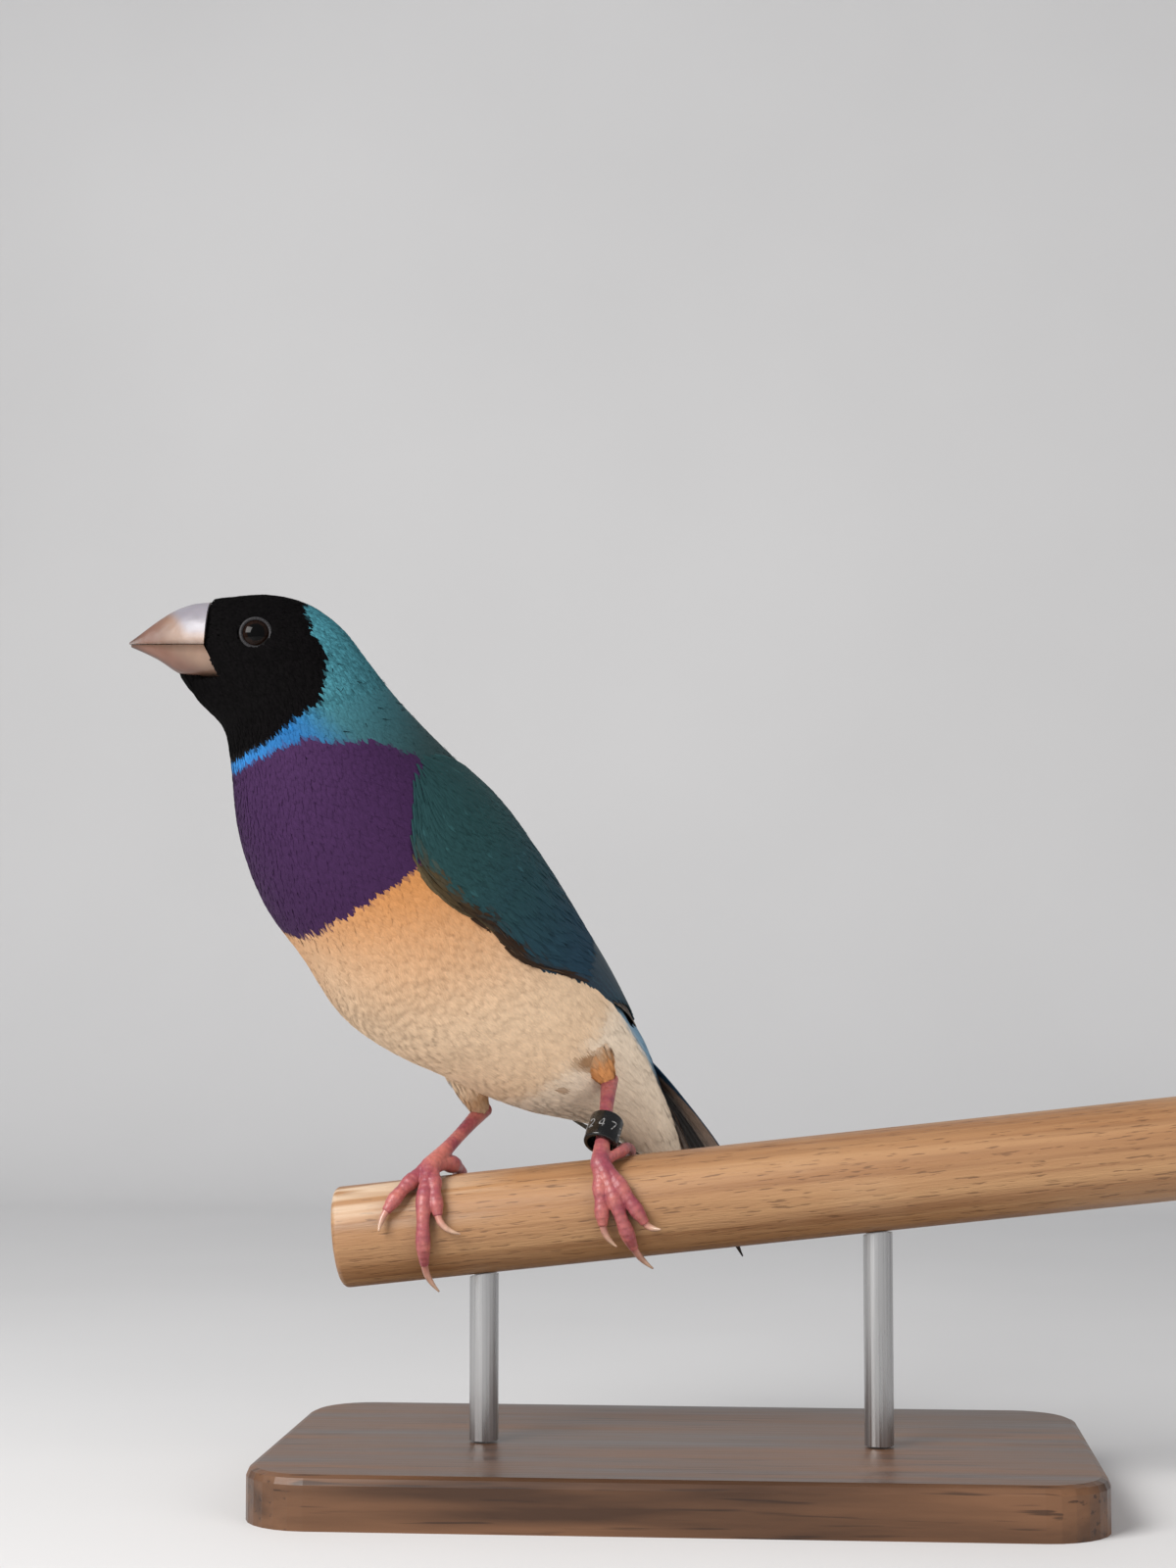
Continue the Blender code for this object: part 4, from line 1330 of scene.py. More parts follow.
# %% Tail feathers
TAIL_TINTS = {
    "top": np.array((0.006, 0.0075, 0.012)),
    # edge: a painted blue sheen laid over the black of the tail
    "edge": np.array((0.01, 0.04, 0.085)),
    "under": np.array((0.36, 0.28, 0.225)),
    "sliver": np.array((0.03, 0.02, 0.014)),
}
TAIL_ENDS = (1.0, 0.86, 0.8, 0.76, 0.73, 0.7)
TAIL_STEPS = 30
TAIL_THICK = 0.12
TAIL_PAIRS = len(TAIL_ENDS)


def tail_feather(sign, i):
    """One feather of the fan: pair i from the middle, on the bird's left where sign is 1."""
    t = np.linspace(0.0, 1.0, TAIL_STEPS)
    share = TAIL_ENDS[i] * t
    spot = (i + 0.35) / 6.3
    half_fan = np.maximum(curve_through(TAIL_KNOTS, TAIL_HALF_WIDTH, share * TAIL_KNOTS[-1]), 0.4)
    wide = (1.7 - 0.04 * i) * vane_outline(t, 0.55 if i == 0 else 0.22)
    middle = sign * (half_fan - wide * 0.5) * spot
    x = np.linspace(-1.0, 1.0, FEATHER_ACROSS)
    aside = middle[:, None] + wide[:, None] * x[None, :]
    lift = 0.34 - 0.1 * i + 0.08 * (1 - x**2)[None, :] - 0.04 * x[None, :] * sign
    lift = lift + 0 * aside
    top = tail_point(share[:, None], aside, lift)
    under = tail_point(share[:, None], aside, lift - TAIL_THICK)
    # Painted blue sheen along each outer vane, strongest near the base.
    outer = past(x * sign, 0.4, 0.9) * (0.9 - 0.7 * t[:, None])
    tone = mix(TAIL_TINTS["top"], TAIL_TINTS["edge"], outer)
    return top, under, tone, sheet_place(t, x)


# %% Undersides
def outer_under_tint():
    """The outer left feather's underside: a black web with a painted blue sheen, brightest near the base,
    that narrows to its outer edge.
    """
    t, x = np.linspace(0.0, 1.0, TAIL_STEPS), np.linspace(-1.0, 1.0, FEATHER_ACROSS)
    web = past(x[None, :] - np.interp(t, (0.25, 0.62), (-1.1, 0.85))[:, None], 0.0, 0.35)
    # Painted sheen: the blue starts at three times the edge colour at the base and fades towards the tip.
    blue = np.linspace(3.0, 0.4, TAIL_STEPS)[:, None, None] * TAIL_TINTS["edge"]
    return mix(TAIL_TINTS["under"] + 0 * blue, blue, web).reshape(-1, 3)


def tail_under_tint(obj):
    """Undersides are greyish brown, and darker near the middle on the left."""
    mesh = obj.data
    tints = np.zeros(len(mesh.vertices) * 4, np.float32)
    mesh.attributes["tint"].data.foreach_get("color", tints)
    tints = tints.reshape(TAIL_PAIRS, 2, 2, -1, 4)
    unders = tints[:, :, 1, :, :3]
    unders[:] = TAIL_TINTS["under"]
    unders[0] = unders[:4, 0] = TAIL_TINTS["sliver"]
    unders[-1, 0] = outer_under_tint()
    mesh.attributes["tint"].data.foreach_set("color", tints.ravel())


# %% A stray feather, and the tail put together
STRAY_AT = ((93.0, 194.0), (103.5, 165.0))
STRAY_TINT = (0.1, 0.085, 0.06)


def stray_feather():
    """One small dark feather lies loose across the undertail, behind the ringed leg."""
    root, tip = (body_point(along, angle, lift) for (along, angle), lift in zip(STRAY_AT, (0.9, 0.35)))
    up = body_normal(98.0, 178.0)
    where = np.array([0.5]), np.array([0.9])
    return root_rows(root[None], (tip - root)[None], up[None], 1.7, 0.2, STRAY_TINT, where)


put(plant("stray_tail_feather", stray_feather(), VANE, SOFT_PLUMAGE, ruffle=0.0, seed=40), "tail_black")

tail_strips = [tail_feather(sign, i) for i in range(TAIL_PAIRS) for sign in (1, -1)]
tail_feathers = join_strips("tail_feathers", tail_strips, WING_PLUMAGE)
tail_under_tint(tail_feathers)
put(tail_feathers, "tail_black", "tail")

# %% [markdown]
# ## Eyes
#
# A finch's eye is a wet black bead with a very dark brown iris, set in a thin bare ring of grey
# skin. The ball is a sphere turned so that its pole, and with it the rings of its finish, points
# straight out of the head. The lid is a fine ring beaded with tiny scales, which Geometry Nodes
# set round a circle.

# %% Eyeballs
EYEBALL_RADIUS = EYE_RADIUS * 0.985
EYE_RINGS = 40
EYE_SIDES = 48


def circle_at(side, sides):
    """The direction straight out of an eye, and a unit circle square to it."""
    out = body_normal(EYE_AT[0], side * EYE_AT[1])
    across = unit(np.cross(out, (0.0, 0.0, 1.0)))
    turns = turns_of(sides)[:, None]
    return out, across * np.cos(turns) + np.cross(out, across) * np.sin(turns)


def eye_finish():
    made, tree, shader = new_finish("eye_wet", 0.06, 0.12)
    place = stored_place(tree)[0]
    pupil = spread(tree, place, 0.30, 0.33, 0.0, 1.0)
    rim = spread(tree, place, 0.62, 0.75, 1.0, 0.0)
    fibres = grey(tree, varied(tree, 2600.0, 0.5, 1.4))
    iris = colour_mix(tree, 1.0, (0.009, 0.004, 0.0025, 1), fibres, "MULTIPLY")
    paint(tree, shader, colour_mix(tree, maths(tree, "MULTIPLY", pupil, rim), (0.002, 0.002, 0.002, 1), iris))
    return made


def make_eye(name, side, finish):
    out, ring = circle_at(side, EYE_SIDES)
    tilt = np.linspace(0.004, math.pi - 0.004, EYE_RINGS)
    points = eye_middle(side) + EYEBALL_RADIUS * (
        np.sin(tilt)[:, None, None] * ring[None] + np.cos(tilt)[:, None, None] * out)
    place = ring_by_ring(tilt / math.pi * 2, EYE_SIDES)
    ball = new_piece(name, points, tube_faces(EYE_RINGS, EYE_SIDES), finish, place=place)
    return put(ball, "eye_black", name.replace("eyeball", "eye"))


EYE_WET = eye_finish()
make_eye("eyeball_left", 1, EYE_WET)
make_eye("eyeball_right", -1, EYE_WET)
print("radius of the eyeballs in mm:", round(EYEBALL_RADIUS, 2))

# %% Lids
LID_THICK = 0.24
LID_RAISED = 0.17
LID_STEPS = 72
LID_SIDES = 10
LID_SCALE_RADIUS = 0.13


def lid_tree():
    """A ring of small scales: points of a circle, a bead on each, realized."""
    tree, given, result = new_tree("lid_scales", Scale_radius="Float", Finish="Material")
    bead = node(tree, "GeometryNodeMeshIcoSphere", {"Radius": given["Scale radius"], "Subdivisions": 2})
    keys = {"Points": given["Geometry"], "Instance": bead.outputs[0]}
    beads = node(tree, "GeometryNodeInstanceOnPoints", keys)
    real = node(tree, "GeometryNodeRealizeInstances", {0: beads.outputs[0]})
    smooth = node(tree, "GeometryNodeSetShadeSmooth", {0: real.outputs[0]})
    dress(tree, smooth.outputs[0], given["Finish"], result)
    return tree


def lid_finish():
    made, tree, shader = new_finish("lid_skin", 0.55, 0.35)
    paint(tree, shader, (0.02, 0.019, 0.021, 1), varied(tree, 3500.0, 0.7, 1.25))
    bump(tree, shader, noise(tree, 5000.0), 0.00004)
    return made


LID_SCALES = lid_tree()
LID_SKIN = lid_finish()


def make_lid(name, side):
    out, ring = circle_at(side, LID_STEPS)
    rise = math.sqrt(EYE_RADIUS**2 - LID_RADIUS**2) + LID_RAISED
    middle = eye_middle(side) + out * rise + ring * LID_RADIUS
    section = turns_of(LID_SIDES)
    rows = middle[:, None] + LID_THICK * (
        np.cos(section)[None, :, None] * ring[:, None] + 0.8 * np.sin(section)[None, :, None] * out)
    put(new_piece(name, rows, closed_faces(LID_STEPS, LID_SIDES), LID_SKIN), "mask_black")
    beads = new_piece(name + "_beads", middle[::2] + out * 0.1, [], LID_SKIN)
    values = {"Scale radius": LID_SCALE_RADIUS * MM, "Finish": LID_SKIN}
    set_inputs(beads.modifiers.new("scales", "NODES"), LID_SCALES, values)
    scales = plain_mesh(beads)
    bpy.data.objects.remove(beads)
    put(shown(name.replace("lid", "lid_scales"), scales), "mask_black")


make_lid("lid_left", 1)
make_lid("lid_right", -1)
print("scales on each lid:", LID_STEPS // 2)

# %% [markdown]
# ## The bill
#
# The bill is a short cone in two halves. Both halves come from the same half-oval sections as
# the solids, only finer. Its horn is white at the upper base; the bluish white along its top is
# partly a painted highlight. It turns pinkish-brown towards the tip and below, so colour is
# stored by how far back a point lies.

# %% Sections of the bill
BILL_BACK = (0.0, 1.2, 3.1, 5.6, 7.9, 10.6)
BILL_HALF_WIDTH = (0.28, 0.8, 1.75, 3.0, 4.1, 4.95)
LOWER_HALF_WIDTH = (0.28, 0.8, 1.75, 3.0, 4.2, 5.2)
CULMEN_HEIGHT = (0.25, 1.25, 2.85, 4.65, 5.7, 6.2)
GONYS_DEPTH = (0.25, 0.8, 1.8, 3.55, 4.05, 4.4)
MOUTH_GAP = 0.1
BILL_RINGS = 44
BILL_SIDES = 33
BILL_TINTS = {
    # white: the pale horn of the upper base, with a painted bluish highlight in it
    "white": np.array((0.23, 0.215, 0.245)),
    "beige": np.array((0.24, 0.15, 0.105)),
    "pink": np.array((0.155, 0.075, 0.052)),
    "brown": np.array((0.075, 0.04, 0.03)),
    "ochre": np.array((0.08, 0.034, 0.015)),
}


def bill_rows(heights, widths, direction, trim=0.0, slant=0.0, squareness=0.95, first_back=0.0):
    """Half-oval sections from the tip back; slant carries their lower edge further back."""
    forward, left, up = bill_axes()
    back = first_back + (BILL_BACK[-1] - first_back) * np.linspace(0.0, 1.0, BILL_RINGS)[:, None] ** 1.3
    turn = np.linspace(0.0, math.pi, BILL_SIDES)[None, :]
    height = curve_through(BILL_BACK, heights, back) - trim
    width = curve_through(BILL_BACK, widths, back) - trim
    deep = height * np.abs(np.sin(turn)) ** squareness
    aside = width * np.sign(np.cos(turn)) * np.abs(np.cos(turn)) ** squareness
    share = back / BILL_BACK[-1]
    behind = back + slant * share * deep / height + 0 * turn
    off = (deep + MOUTH_GAP / 2)[..., None]
    place = -forward * behind[..., None] + left * aside[..., None] + up * direction * off
    return BILL_TIP + place, share + 0 * turn, deep / curve_through(BILL_BACK, heights, back)


# %% Colours and horn
def bill_tints(share, high, upper):
    tone = mix(BILL_TINTS["brown"], BILL_TINTS["pink"], past(share, 0.12, 0.3))
    tone = mix(tone, BILL_TINTS["beige"], past(share - (0.0 if upper else 0.45 * high), 0.46, 0.4))
    if upper:
        # The horn's pale base with a painted highlight along the top: whiter the higher a point lies.
        pale_and_highlight = past(share + 0.35 * (high - 0.5), 0.67, 0.16) * past(high, 0.24, 0.24)
        tone = mix(tone, BILL_TINTS["white"], pale_and_highlight)
    return mix(tone, BILL_TINTS["ochre"], 0.85 * past(high, 0.035, -0.06))


def bill_finish():
    made, tree, shader = new_finish("bill_horn", 0.34, 0.5, coat=0.15, coat_roughness=0.25)
    let_light_in(shader, 0.12, (1.0, 0.5, 0.3))
    layers = noise(tree, 420.0, 4.0, (1.0, 5.0, 1.6))
    paint(tree, shader, stored_tint(tree), varied(tree, 300.0, 0.84, 1.1))
    roughen(tree, shader, layers, 0.28, 0.46)
    bump(tree, shader, layers, 0.00005)
    return made


BILL_HORN = bill_finish()


# %% Both halves
def make_bill(half, **how):
    rows, share, high = bill_rows(**how)
    tints = bill_tints(share.ravel(), high.ravel(), half == "upper")
    bill = new_piece(f"bill_horn_{half}", rows, tube_faces(BILL_RINGS, BILL_SIDES), BILL_HORN, tints)
    bill.data.set_sharp_from_angle(angle=math.radians(60))
    print(f"{bill.name}: {len(bill.data.polygons)} faces")
    return put(bill, "bill_horn", f"bill_{half}")


make_bill("upper", heights=CULMEN_HEIGHT, widths=BILL_HALF_WIDTH, direction=1)
make_bill("lower", heights=GONYS_DEPTH, widths=LOWER_HALF_WIDTH, direction=-1,
          trim=0.06, slant=2.6, squareness=0.55, first_back=0.25)

# %% [markdown]
# ## Legs and feet
#
# Legs and toes are pink and ringed with scutes, small overlapping scales. Each is a tube whose
# radius steps up and falls back once a scute, mostly on its front. The tubes and the ankle's
# ball overlap, so a voxel remesh blends each foot into one skin with soft webs between toes.

# %% Foot layout on the dowel
PERCH_RADIUS = 6.95
PERCH_SLOPE = math.radians(6.4)
PERCH_LEVEL = 0.5
HUB_RADIUS = 1.35
HUB_RISE = 9.0
TOE_RADII = (1.22, 1.04, 0.98, 0.7)
HIND_RADII = {"right": (1.2, 1.1, 1.0, 0.7), "left": (0.85, 0.78, 0.7, 0.6)}
CLAW_RADII = (0.5, 0.42, 0.12)
TARSUS_RADII = (1.25, 0.95, 0.95, 1.35)
LEG_GAP = 0.3
Leg = namedtuple("Leg", "heel hub_x hub_turn")
LEGS = {"right": Leg((-16.2, 9.2, 13.3), -20.4, 17.0), "left": Leg((2.5, 5.2, 17.3), 2.9, 43.0)}
Toe = namedtuple("Toe", "end_x end_turn claw_x claw_turn claw_rise")
TOES = {
    "right": {
        "outer": Toe(-26.6, 66, -27.6, 84, 8.6),
        "middle": Toe(-22.2, 124, -20.8, 148, 9.8),
        "inner": Toe(-19.5, 76, -16.6, 94, 8.8),
        "hind": Toe(-17.6, -52, -16.6, -72, 8.8),
    },
    "left": {
        "inner": Toe(2.5, 102, 4.0, 122, 8.7),
        "middle": Toe(6.2, 131, 8.3, 152, 9.4),
        "outer": Toe(8.2, 104, 10.2, 108, 9.1),
        "hind": Toe(6.5, -42, 6.2, -62, 8.8),
    },
}


# %% Paths over the dowel
def perch_axis(x):
    return np.array([x, 0.0, PERCH_LEVEL + x * math.tan(PERCH_SLOPE)])


def round_perch(x, turn, rise):
    turn = math.radians(turn)
    upright = np.array([-math.sin(PERCH_SLOPE), 0.0, math.cos(PERCH_SLOPE)])
    return perch_axis(x) + rise * (upright * math.cos(turn) + np.array([0.0, -math.sin(turn), 0.0]))


def hub_middle(side):
    return round_perch(LEGS[side].hub_x, LEGS[side].hub_turn, HUB_RISE)


def toe_path(side, toe, count=8):
    leg = LEGS[side]
    first, last = (1.1, 0.68) if toe.end_turn > 0 else (HIND_RADII[side][0], HIND_RADII[side][-1])
    path = []
    for share in np.linspace(0.0, 1.0, count):
        turn = leg.hub_turn + share * (toe.end_turn - leg.hub_turn)
        aside = share**0.8 if toe.end_turn > 0 else 1 - (1 - share) ** 4
        x = leg.hub_x + (toe.end_x - leg.hub_x) * aside
        radius = first + (last - first) * share
        lying = PERCH_RADIUS + LEG_GAP + radius + 0.08
        path.append(round_perch(x, turn, HUB_RISE + (lying - HUB_RISE) * min(1.0, share / 0.25)))
    return np.array(path)


print("middle of the left foot, mm:", hub_middle("left").round(1))

# %% Scaly limbs
SCUTE_LENGTH = 0.95
SCUTES_FACE = (0.0, -0.85, 0.5)
TOE_SCUTE_HEIGHT = 0.07
SHANK_SCUTE_HEIGHT = 0.06
BALL_RINGS = 18
BALL_SIDES = 24


def scaly_limb(path, radii, height, count, sides, knuckles=0.0):
    """Rings of a limb with scutes on its front side and, on toes, a swelling at each joint."""
    fine = fine_path(path, count)
    at = lengths_along(fine)
    radius = curve_through(np.linspace(0, at[-1], len(radii)), radii, at)
    radius = radius * (1 + knuckles * np.cos(at / at[-1] * 2 * math.pi * 2.5) * 0.5)
    radius[0], radius[-1] = radius[0] * 0.5, radius[-1] * 0.45
    rings = ring_round(fine, np.gradient(fine, at, axis=0), radius, sides)
    out = unit(rings - fine[:, None])
    facing = np.clip((out @ np.array(SCUTES_FACE)) * 0.9 + 0.35, 0.0, 1.0)
    scute = (at / SCUTE_LENGTH) % 1.0
    step = (np.minimum(scute / 0.75, (1 - scute) / 0.25))[:, None] * facing
    return (rings + out * (height * step)[..., None]).reshape(-1, 3), tube_faces(count, sides)


def ball_shape(middle, radius):
    tilt = np.linspace(0.02, math.pi - 0.02, BALL_RINGS)
    turns = turns_of(BALL_SIDES)
    ring = np.stack([np.cos(turns), np.sin(turns), 0 * turns], 1)
    rise = np.stack([0 * tilt, 0 * tilt, np.cos(tilt)], 1)
    points = middle + radius * (np.sin(tilt)[:, None, None] * ring[None] + rise[:, None])
    return points.reshape(-1, 3), tube_faces(BALL_RINGS, BALL_SIDES)


# %% Feet
def remeshed(obj, voxel, relax):
    step = obj.modifiers.new("blend", "REMESH")
    step.mode, step.voxel_size = "VOXEL", voxel * MM
    ease = obj.modifiers.new("ease", "SMOOTH")
    ease.factor, ease.iterations = 0.5, relax
    mesh = plain_mesh(obj)
    obj.modifiers.clear()
    obj.data = mesh
    mesh.shade_smooth()
    return obj


def make_foot(side, finish):
    heel, hub = np.array(LEGS[side].heel), hub_middle(side)
    shank = np.array([heel + (hub - heel) * share for share in np.linspace(-0.12, 1.0, 9)])
    shank = scaly_limb(shank, TARSUS_RADII, SHANK_SCUTE_HEIGHT, count=90, sides=32)
    parts = [shank, ball_shape(hub, HUB_RADIUS)]
    for toe in TOES[side].values():
        path, radii = toe_path(side, toe), TOE_RADII if toe.end_turn > 0 else HIND_RADII[side]
        parts.append(scaly_limb(path, radii, TOE_SCUTE_HEIGHT, count=80, sides=26, knuckles=0.26))
    foot = new_piece(f"foot_skin_{side}", *join_shapes(parts))
    remeshed(foot, voxel=0.1, relax=2)
    foot.data.materials.append(finish)
    print(f"foot_skin_{side}: {len(foot.data.polygons)} faces")
    return put(foot, "leg_pink", f"leg_{side}", f"foot_{side}")


# %% Skin of the legs
def leg_finish():
    made, tree, shader = new_finish("leg_skin", 0.42, 0.45, coat=0.18, coat_roughness=0.3)
    let_light_in(shader, 0.15, (1.0, 0.35, 0.3))
    blotch = spread(tree, noise(tree, 260.0), 0.38, 0.62, 0.0, 1.0)
    colour = colour_mix(tree, blotch, (0.26, 0.052, 0.075, 1), (0.44, 0.135, 0.115, 1))
    paint(tree, shader, colour, varied(tree, 1900.0, 0.85, 1.15))
    keys = {"Vector": node(tree, "ShaderNodeTexCoord").outputs["Object"], "Scale": 2200.0}
    cells = node(tree, "ShaderNodeTexVoronoi", keys, feature="DISTANCE_TO_EDGE").outputs[0]
    bump(tree, shader, spread(tree, cells, 0.0, 0.15, 0.0, 1.0), 0.00004, 0.4)
    return made


LEG_SKIN = leg_finish()
for side in ("left", "right"):
    make_foot(side, LEG_SKIN)

# %% Claws
CLAW_RINGS = 24
CLAW_SIDES = 14


def claw_path(side, toe):
    toe_end = toe_path(side, toe)
    leaving = unit(toe_end[-1] - toe_end[-2])
    start = toe_end[-1] - leaving * 0.25
    tip = round_perch(toe.claw_x, toe.claw_turn, toe.claw_rise)
    bend = start + leaving * np.linalg.norm(tip - start) * 0.5
    shares = np.linspace(0.0, 1.0, CLAW_RINGS)[:, None]
    return start * (1 - shares) ** 2 + bend * 2 * shares * (1 - shares) + tip * shares**2


def claw_finish():
    made, tree, shader = new_finish("claw_horn", 0.3, 0.5, coat=0.3, coat_roughness=0.2)
    towards_tip = spread(tree, stored_place(tree)[0], 0.1, 0.8, 0.0, 1.0)
    colour = colour_mix(tree, towards_tip, (0.45, 0.19, 0.15, 1), (0.5, 0.32, 0.22, 1))
    paint(tree, shader, colour, varied(tree, 900.0, 0.75, 1.1))
    bump(tree, shader, noise(tree, 2500.0), 0.00003)
    return made


def make_claw(name, path, finish):
    at = lengths_along(path)
    radii = curve_through(np.linspace(0, at[-1], 3), CLAW_RADII, at)
    place = ring_by_ring(np.linspace(0, 1, CLAW_RINGS), CLAW_SIDES)
    faces = tube_faces(CLAW_RINGS, CLAW_SIDES)
    claw = new_piece(f"{name}_horn", smooth_tube(path, radii, CLAW_SIDES), faces, finish, place=place)
    return put(claw, "claw_horn", name)


CLAW_HORN = claw_finish()
for side in ("left", "right"):
    for toe_name, toe in TOES[side].items():
        make_claw(f"claw_{side}_{toe_name}", claw_path(side, toe), CLAW_HORN)
print("claws:", sum(len(toes) for toes in TOES.values()))

# %% [markdown]
# ## The leg ring
#
# A closed ring of glossy black plastic sits loose on the left leg. It is a turned profile, so
# one loop of sections is enough. Worn pale digits run round it: plain numbers that mean nothing,
# drawn as short bent lines that lie on the round face.

# %% Sizes of the ring, and its digits
RING_HEIGHT = 4.4
RING_OUTER = 2.35
RING_INNER = 1.75
RING_ALONG = 0.6
RING_LEAN = np.array((-0.17, 0.1, -0.06))
RING_EDGE = 0.3
DIGIT_HEIGHT = 1.25
DIGIT_WIDTH = 0.75
DIGIT_TOP = 0.7
DIGIT_STEPS = 26
STROKE_RADIUS = 0.085
STROKE_SIDES = 8
RING_SIDES = 72
LEG_HEEL = np.array(LEGS["left"].heel)
RING_AXIS = unit(unit(hub_middle("left") - LEG_HEEL) + RING_LEAN)
RING_MIDDLE = LEG_HEEL + (hub_middle("left") - LEG_HEEL) * RING_ALONG
DIGITS = {
    "2": ((0, 0.85), (0.25, 1), (0.75, 1), (1, 0.8), (0.9, 0.5), (0, 0), (1, 0)),
    "4": ((0.7, 0), (0.7, 1), (0, 0.3), (1, 0.3)),
    "7": ((0, 1), (1, 1), (0.35, 0)),
}


# %% Ring and digits
def ring_profile():
    """Round the wall's section: out along the foot, round each edge, and back up the bore."""
    half, points = RING_HEIGHT / 2, []
    corners = (
        (half, RING_OUTER, 0), (half, RING_INNER, 90), (-half, RING_INNER, 180), (-half, RING_OUTER, 270),
    )
    for along, radius, start in corners:
        edge = RING_EDGE if radius == RING_OUTER else 0.15
        centre = (along - math.copysign(edge, along), radius - math.copysign(edge, radius - 2.0))
        for step in range(5):
            turn = math.radians(start + 90 * step / 4)
            points.append((centre[0] + edge * math.sin(turn), centre[1] + edge * math.cos(turn)))
    return points


def ring_finish():
    made, tree, shader = new_finish("ring_plastic", 0.24, 0.4, coat=0.25, coat_roughness=0.1)
    scuffs = noise(tree, 900.0, 5.0)
    tree.links.new(spread(tree, scuffs, 0.45, 0.7, 0.14, 0.4), shader.inputs["Roughness"])
    paint(tree, shader, grey(tree, varied(tree, 500.0, 0.002, 0.005)))
    bump(tree, shader, scuffs, 0.00002)
    return made


def digit_finish():
    made, tree, shader = new_finish("digit_paint", 0.5, 0.4)
    paint(tree, shader, grey(tree, spread(tree, noise(tree, 3000.0), 0.35, 0.6, 0.08, 0.32)))
    return made


def make_ring():
    along, radius = np.array(ring_profile()).T
    middles = RING_MIDDLE + RING_AXIS * along[:, None]
    rows = ring_round(middles, RING_AXIS + 0 * middles, radius, RING_SIDES)
    faces = closed_faces(len(along), RING_SIDES)
    put(new_piece("ring_shell", rows, faces, ring_finish()), "ring_black", "leg_ring")


def make_digits(text):
    """Each digit is a bent line of paint that follows the ring's round face."""
    across = unit(np.cross(RING_AXIS, (0.0, 1.0, 0.0)))
    front = np.cross(across, RING_AXIS)
    strokes = []
    for i, digit in enumerate(text):
        line = fine_path(np.array(DIGITS[digit], float), DIGIT_STEPS)
        turn = math.radians(i * 360 / len(text)) - line[:, 0] * DIGIT_WIDTH / RING_OUTER
        level = DIGIT_TOP - line[:, 1] * DIGIT_HEIGHT
        out = np.cos(turn)[:, None] * front + np.sin(turn)[:, None] * across
        path = RING_MIDDLE + RING_AXIS * level[:, None] + out * (RING_OUTER - 0.02)
        tube = smooth_tube(path, np.full(DIGIT_STEPS, STROKE_RADIUS), STROKE_SIDES)
        strokes.append((tube, tube_faces(DIGIT_STEPS, STROKE_SIDES)))
    put(new_piece("ring_digits", *join_shapes(strokes), digit_finish()), "ring_black")


make_ring()
make_digits("274274274")
print("height and outer radius of the ring in mm:", RING_HEIGHT, RING_OUTER)

# %% [markdown]
# ## Dowel, rods and base
#
# The dowel is bare beech: straight grain with short dark flecks, worn at its ends, and a painted
# highlight on the ribbed grain along the top of its left end. It gets a finer mesh than its solid,
# with a rounded, slightly uneven edge. The rods and the base keep their solids and only get
# better finishes: brushed steel and oiled walnut.

# %% Beech
def dowel_finish():
    made, tree, shader = new_finish("dowel_beech", 0.52, 0.4, coat=0.2, coat_roughness=0.4)
    where = node(tree, "ShaderNodeTexCoord").outputs["Object"]
    level = node(tree, "ShaderNodeMapping", {"Vector": where, "Rotation": (0.0, PERCH_SLOPE, 0.0)}).outputs[0]
    grain = noise(tree, 90.0, 6.0, (0.12, 4.0, 4.0), level)
    bands = noise(tree, 40.0, 3.0, (0.05, 6.0, 6.0), level)
    flecks = noise(tree, 380.0, 2.0, (0.8, 9.0, 9.0), level)
    wear = noise(tree, 60.0, 4.0, (0.5, 1.0, 1.0), level)
    lines = noise(tree, 300.0, 2.0, (0.06, 3.0, 3.0), level)
    colour = spread(tree, grain, 0.35, 0.65, 0.0, 1.0)
    colour = colour_mix(tree, colour, (0.3, 0.145, 0.06, 1), (0.43, 0.245, 0.115, 1))
    colour = colour_mix(tree, spread(tree, lines, 0.3, 0.5, 0.6, 0.0), colour, (0.19, 0.085, 0.035, 1))
    colour = colour_mix(tree, spread(tree, bands, 0.42, 0.6, 0.0, 0.45), colour, (0.24, 0.11, 0.045, 1))
    colour = colour_mix(tree, spread(tree, flecks, 0.61, 0.67, 0.0, 0.6), colour, (0.08, 0.033, 0.014, 1))
    colour = colour_mix(tree, spread(tree, wear, 0.55, 0.75, 0.0, 0.35), colour, (0.56, 0.38, 0.23, 1))
    x, _, z = split(tree, where)
    # Painted highlight: pale streaks on the ribbed grain along the top of the dowel's left end.
    at_end, on_top = spread(tree, x, -0.044, -0.022, 1.0, 0.0), spread(tree, z, 0.036, 0.041, 0.0, 1.0)
    rib_highlight = spread(tree, noise(tree, 420.0, 1.0, (0.07, 1.0, 1.6), level), 0.46, 0.56, 0.0, 0.85)
    rib_highlight = maths(tree, "MULTIPLY", rib_highlight, maths(tree, "MULTIPLY", at_end, on_top))
    paint(tree, shader, colour_mix(tree, rib_highlight, colour, (0.66, 0.52, 0.38, 1)))
    roughen(tree, shader, grain, 0.42, 0.62)
    bump(tree, shader, maths(tree, "SUBTRACT", grain, maths(tree, "MULTIPLY", flecks, 0.7)), 0.00018, 0.8)
    return made


# %% Dowel
PERCH_LEFT = -34.5
PERCH_RIGHT = 84.6
PERCH_WORN = 0.9
PERCH_SIDES = 96
PERCH_STEPS = 60


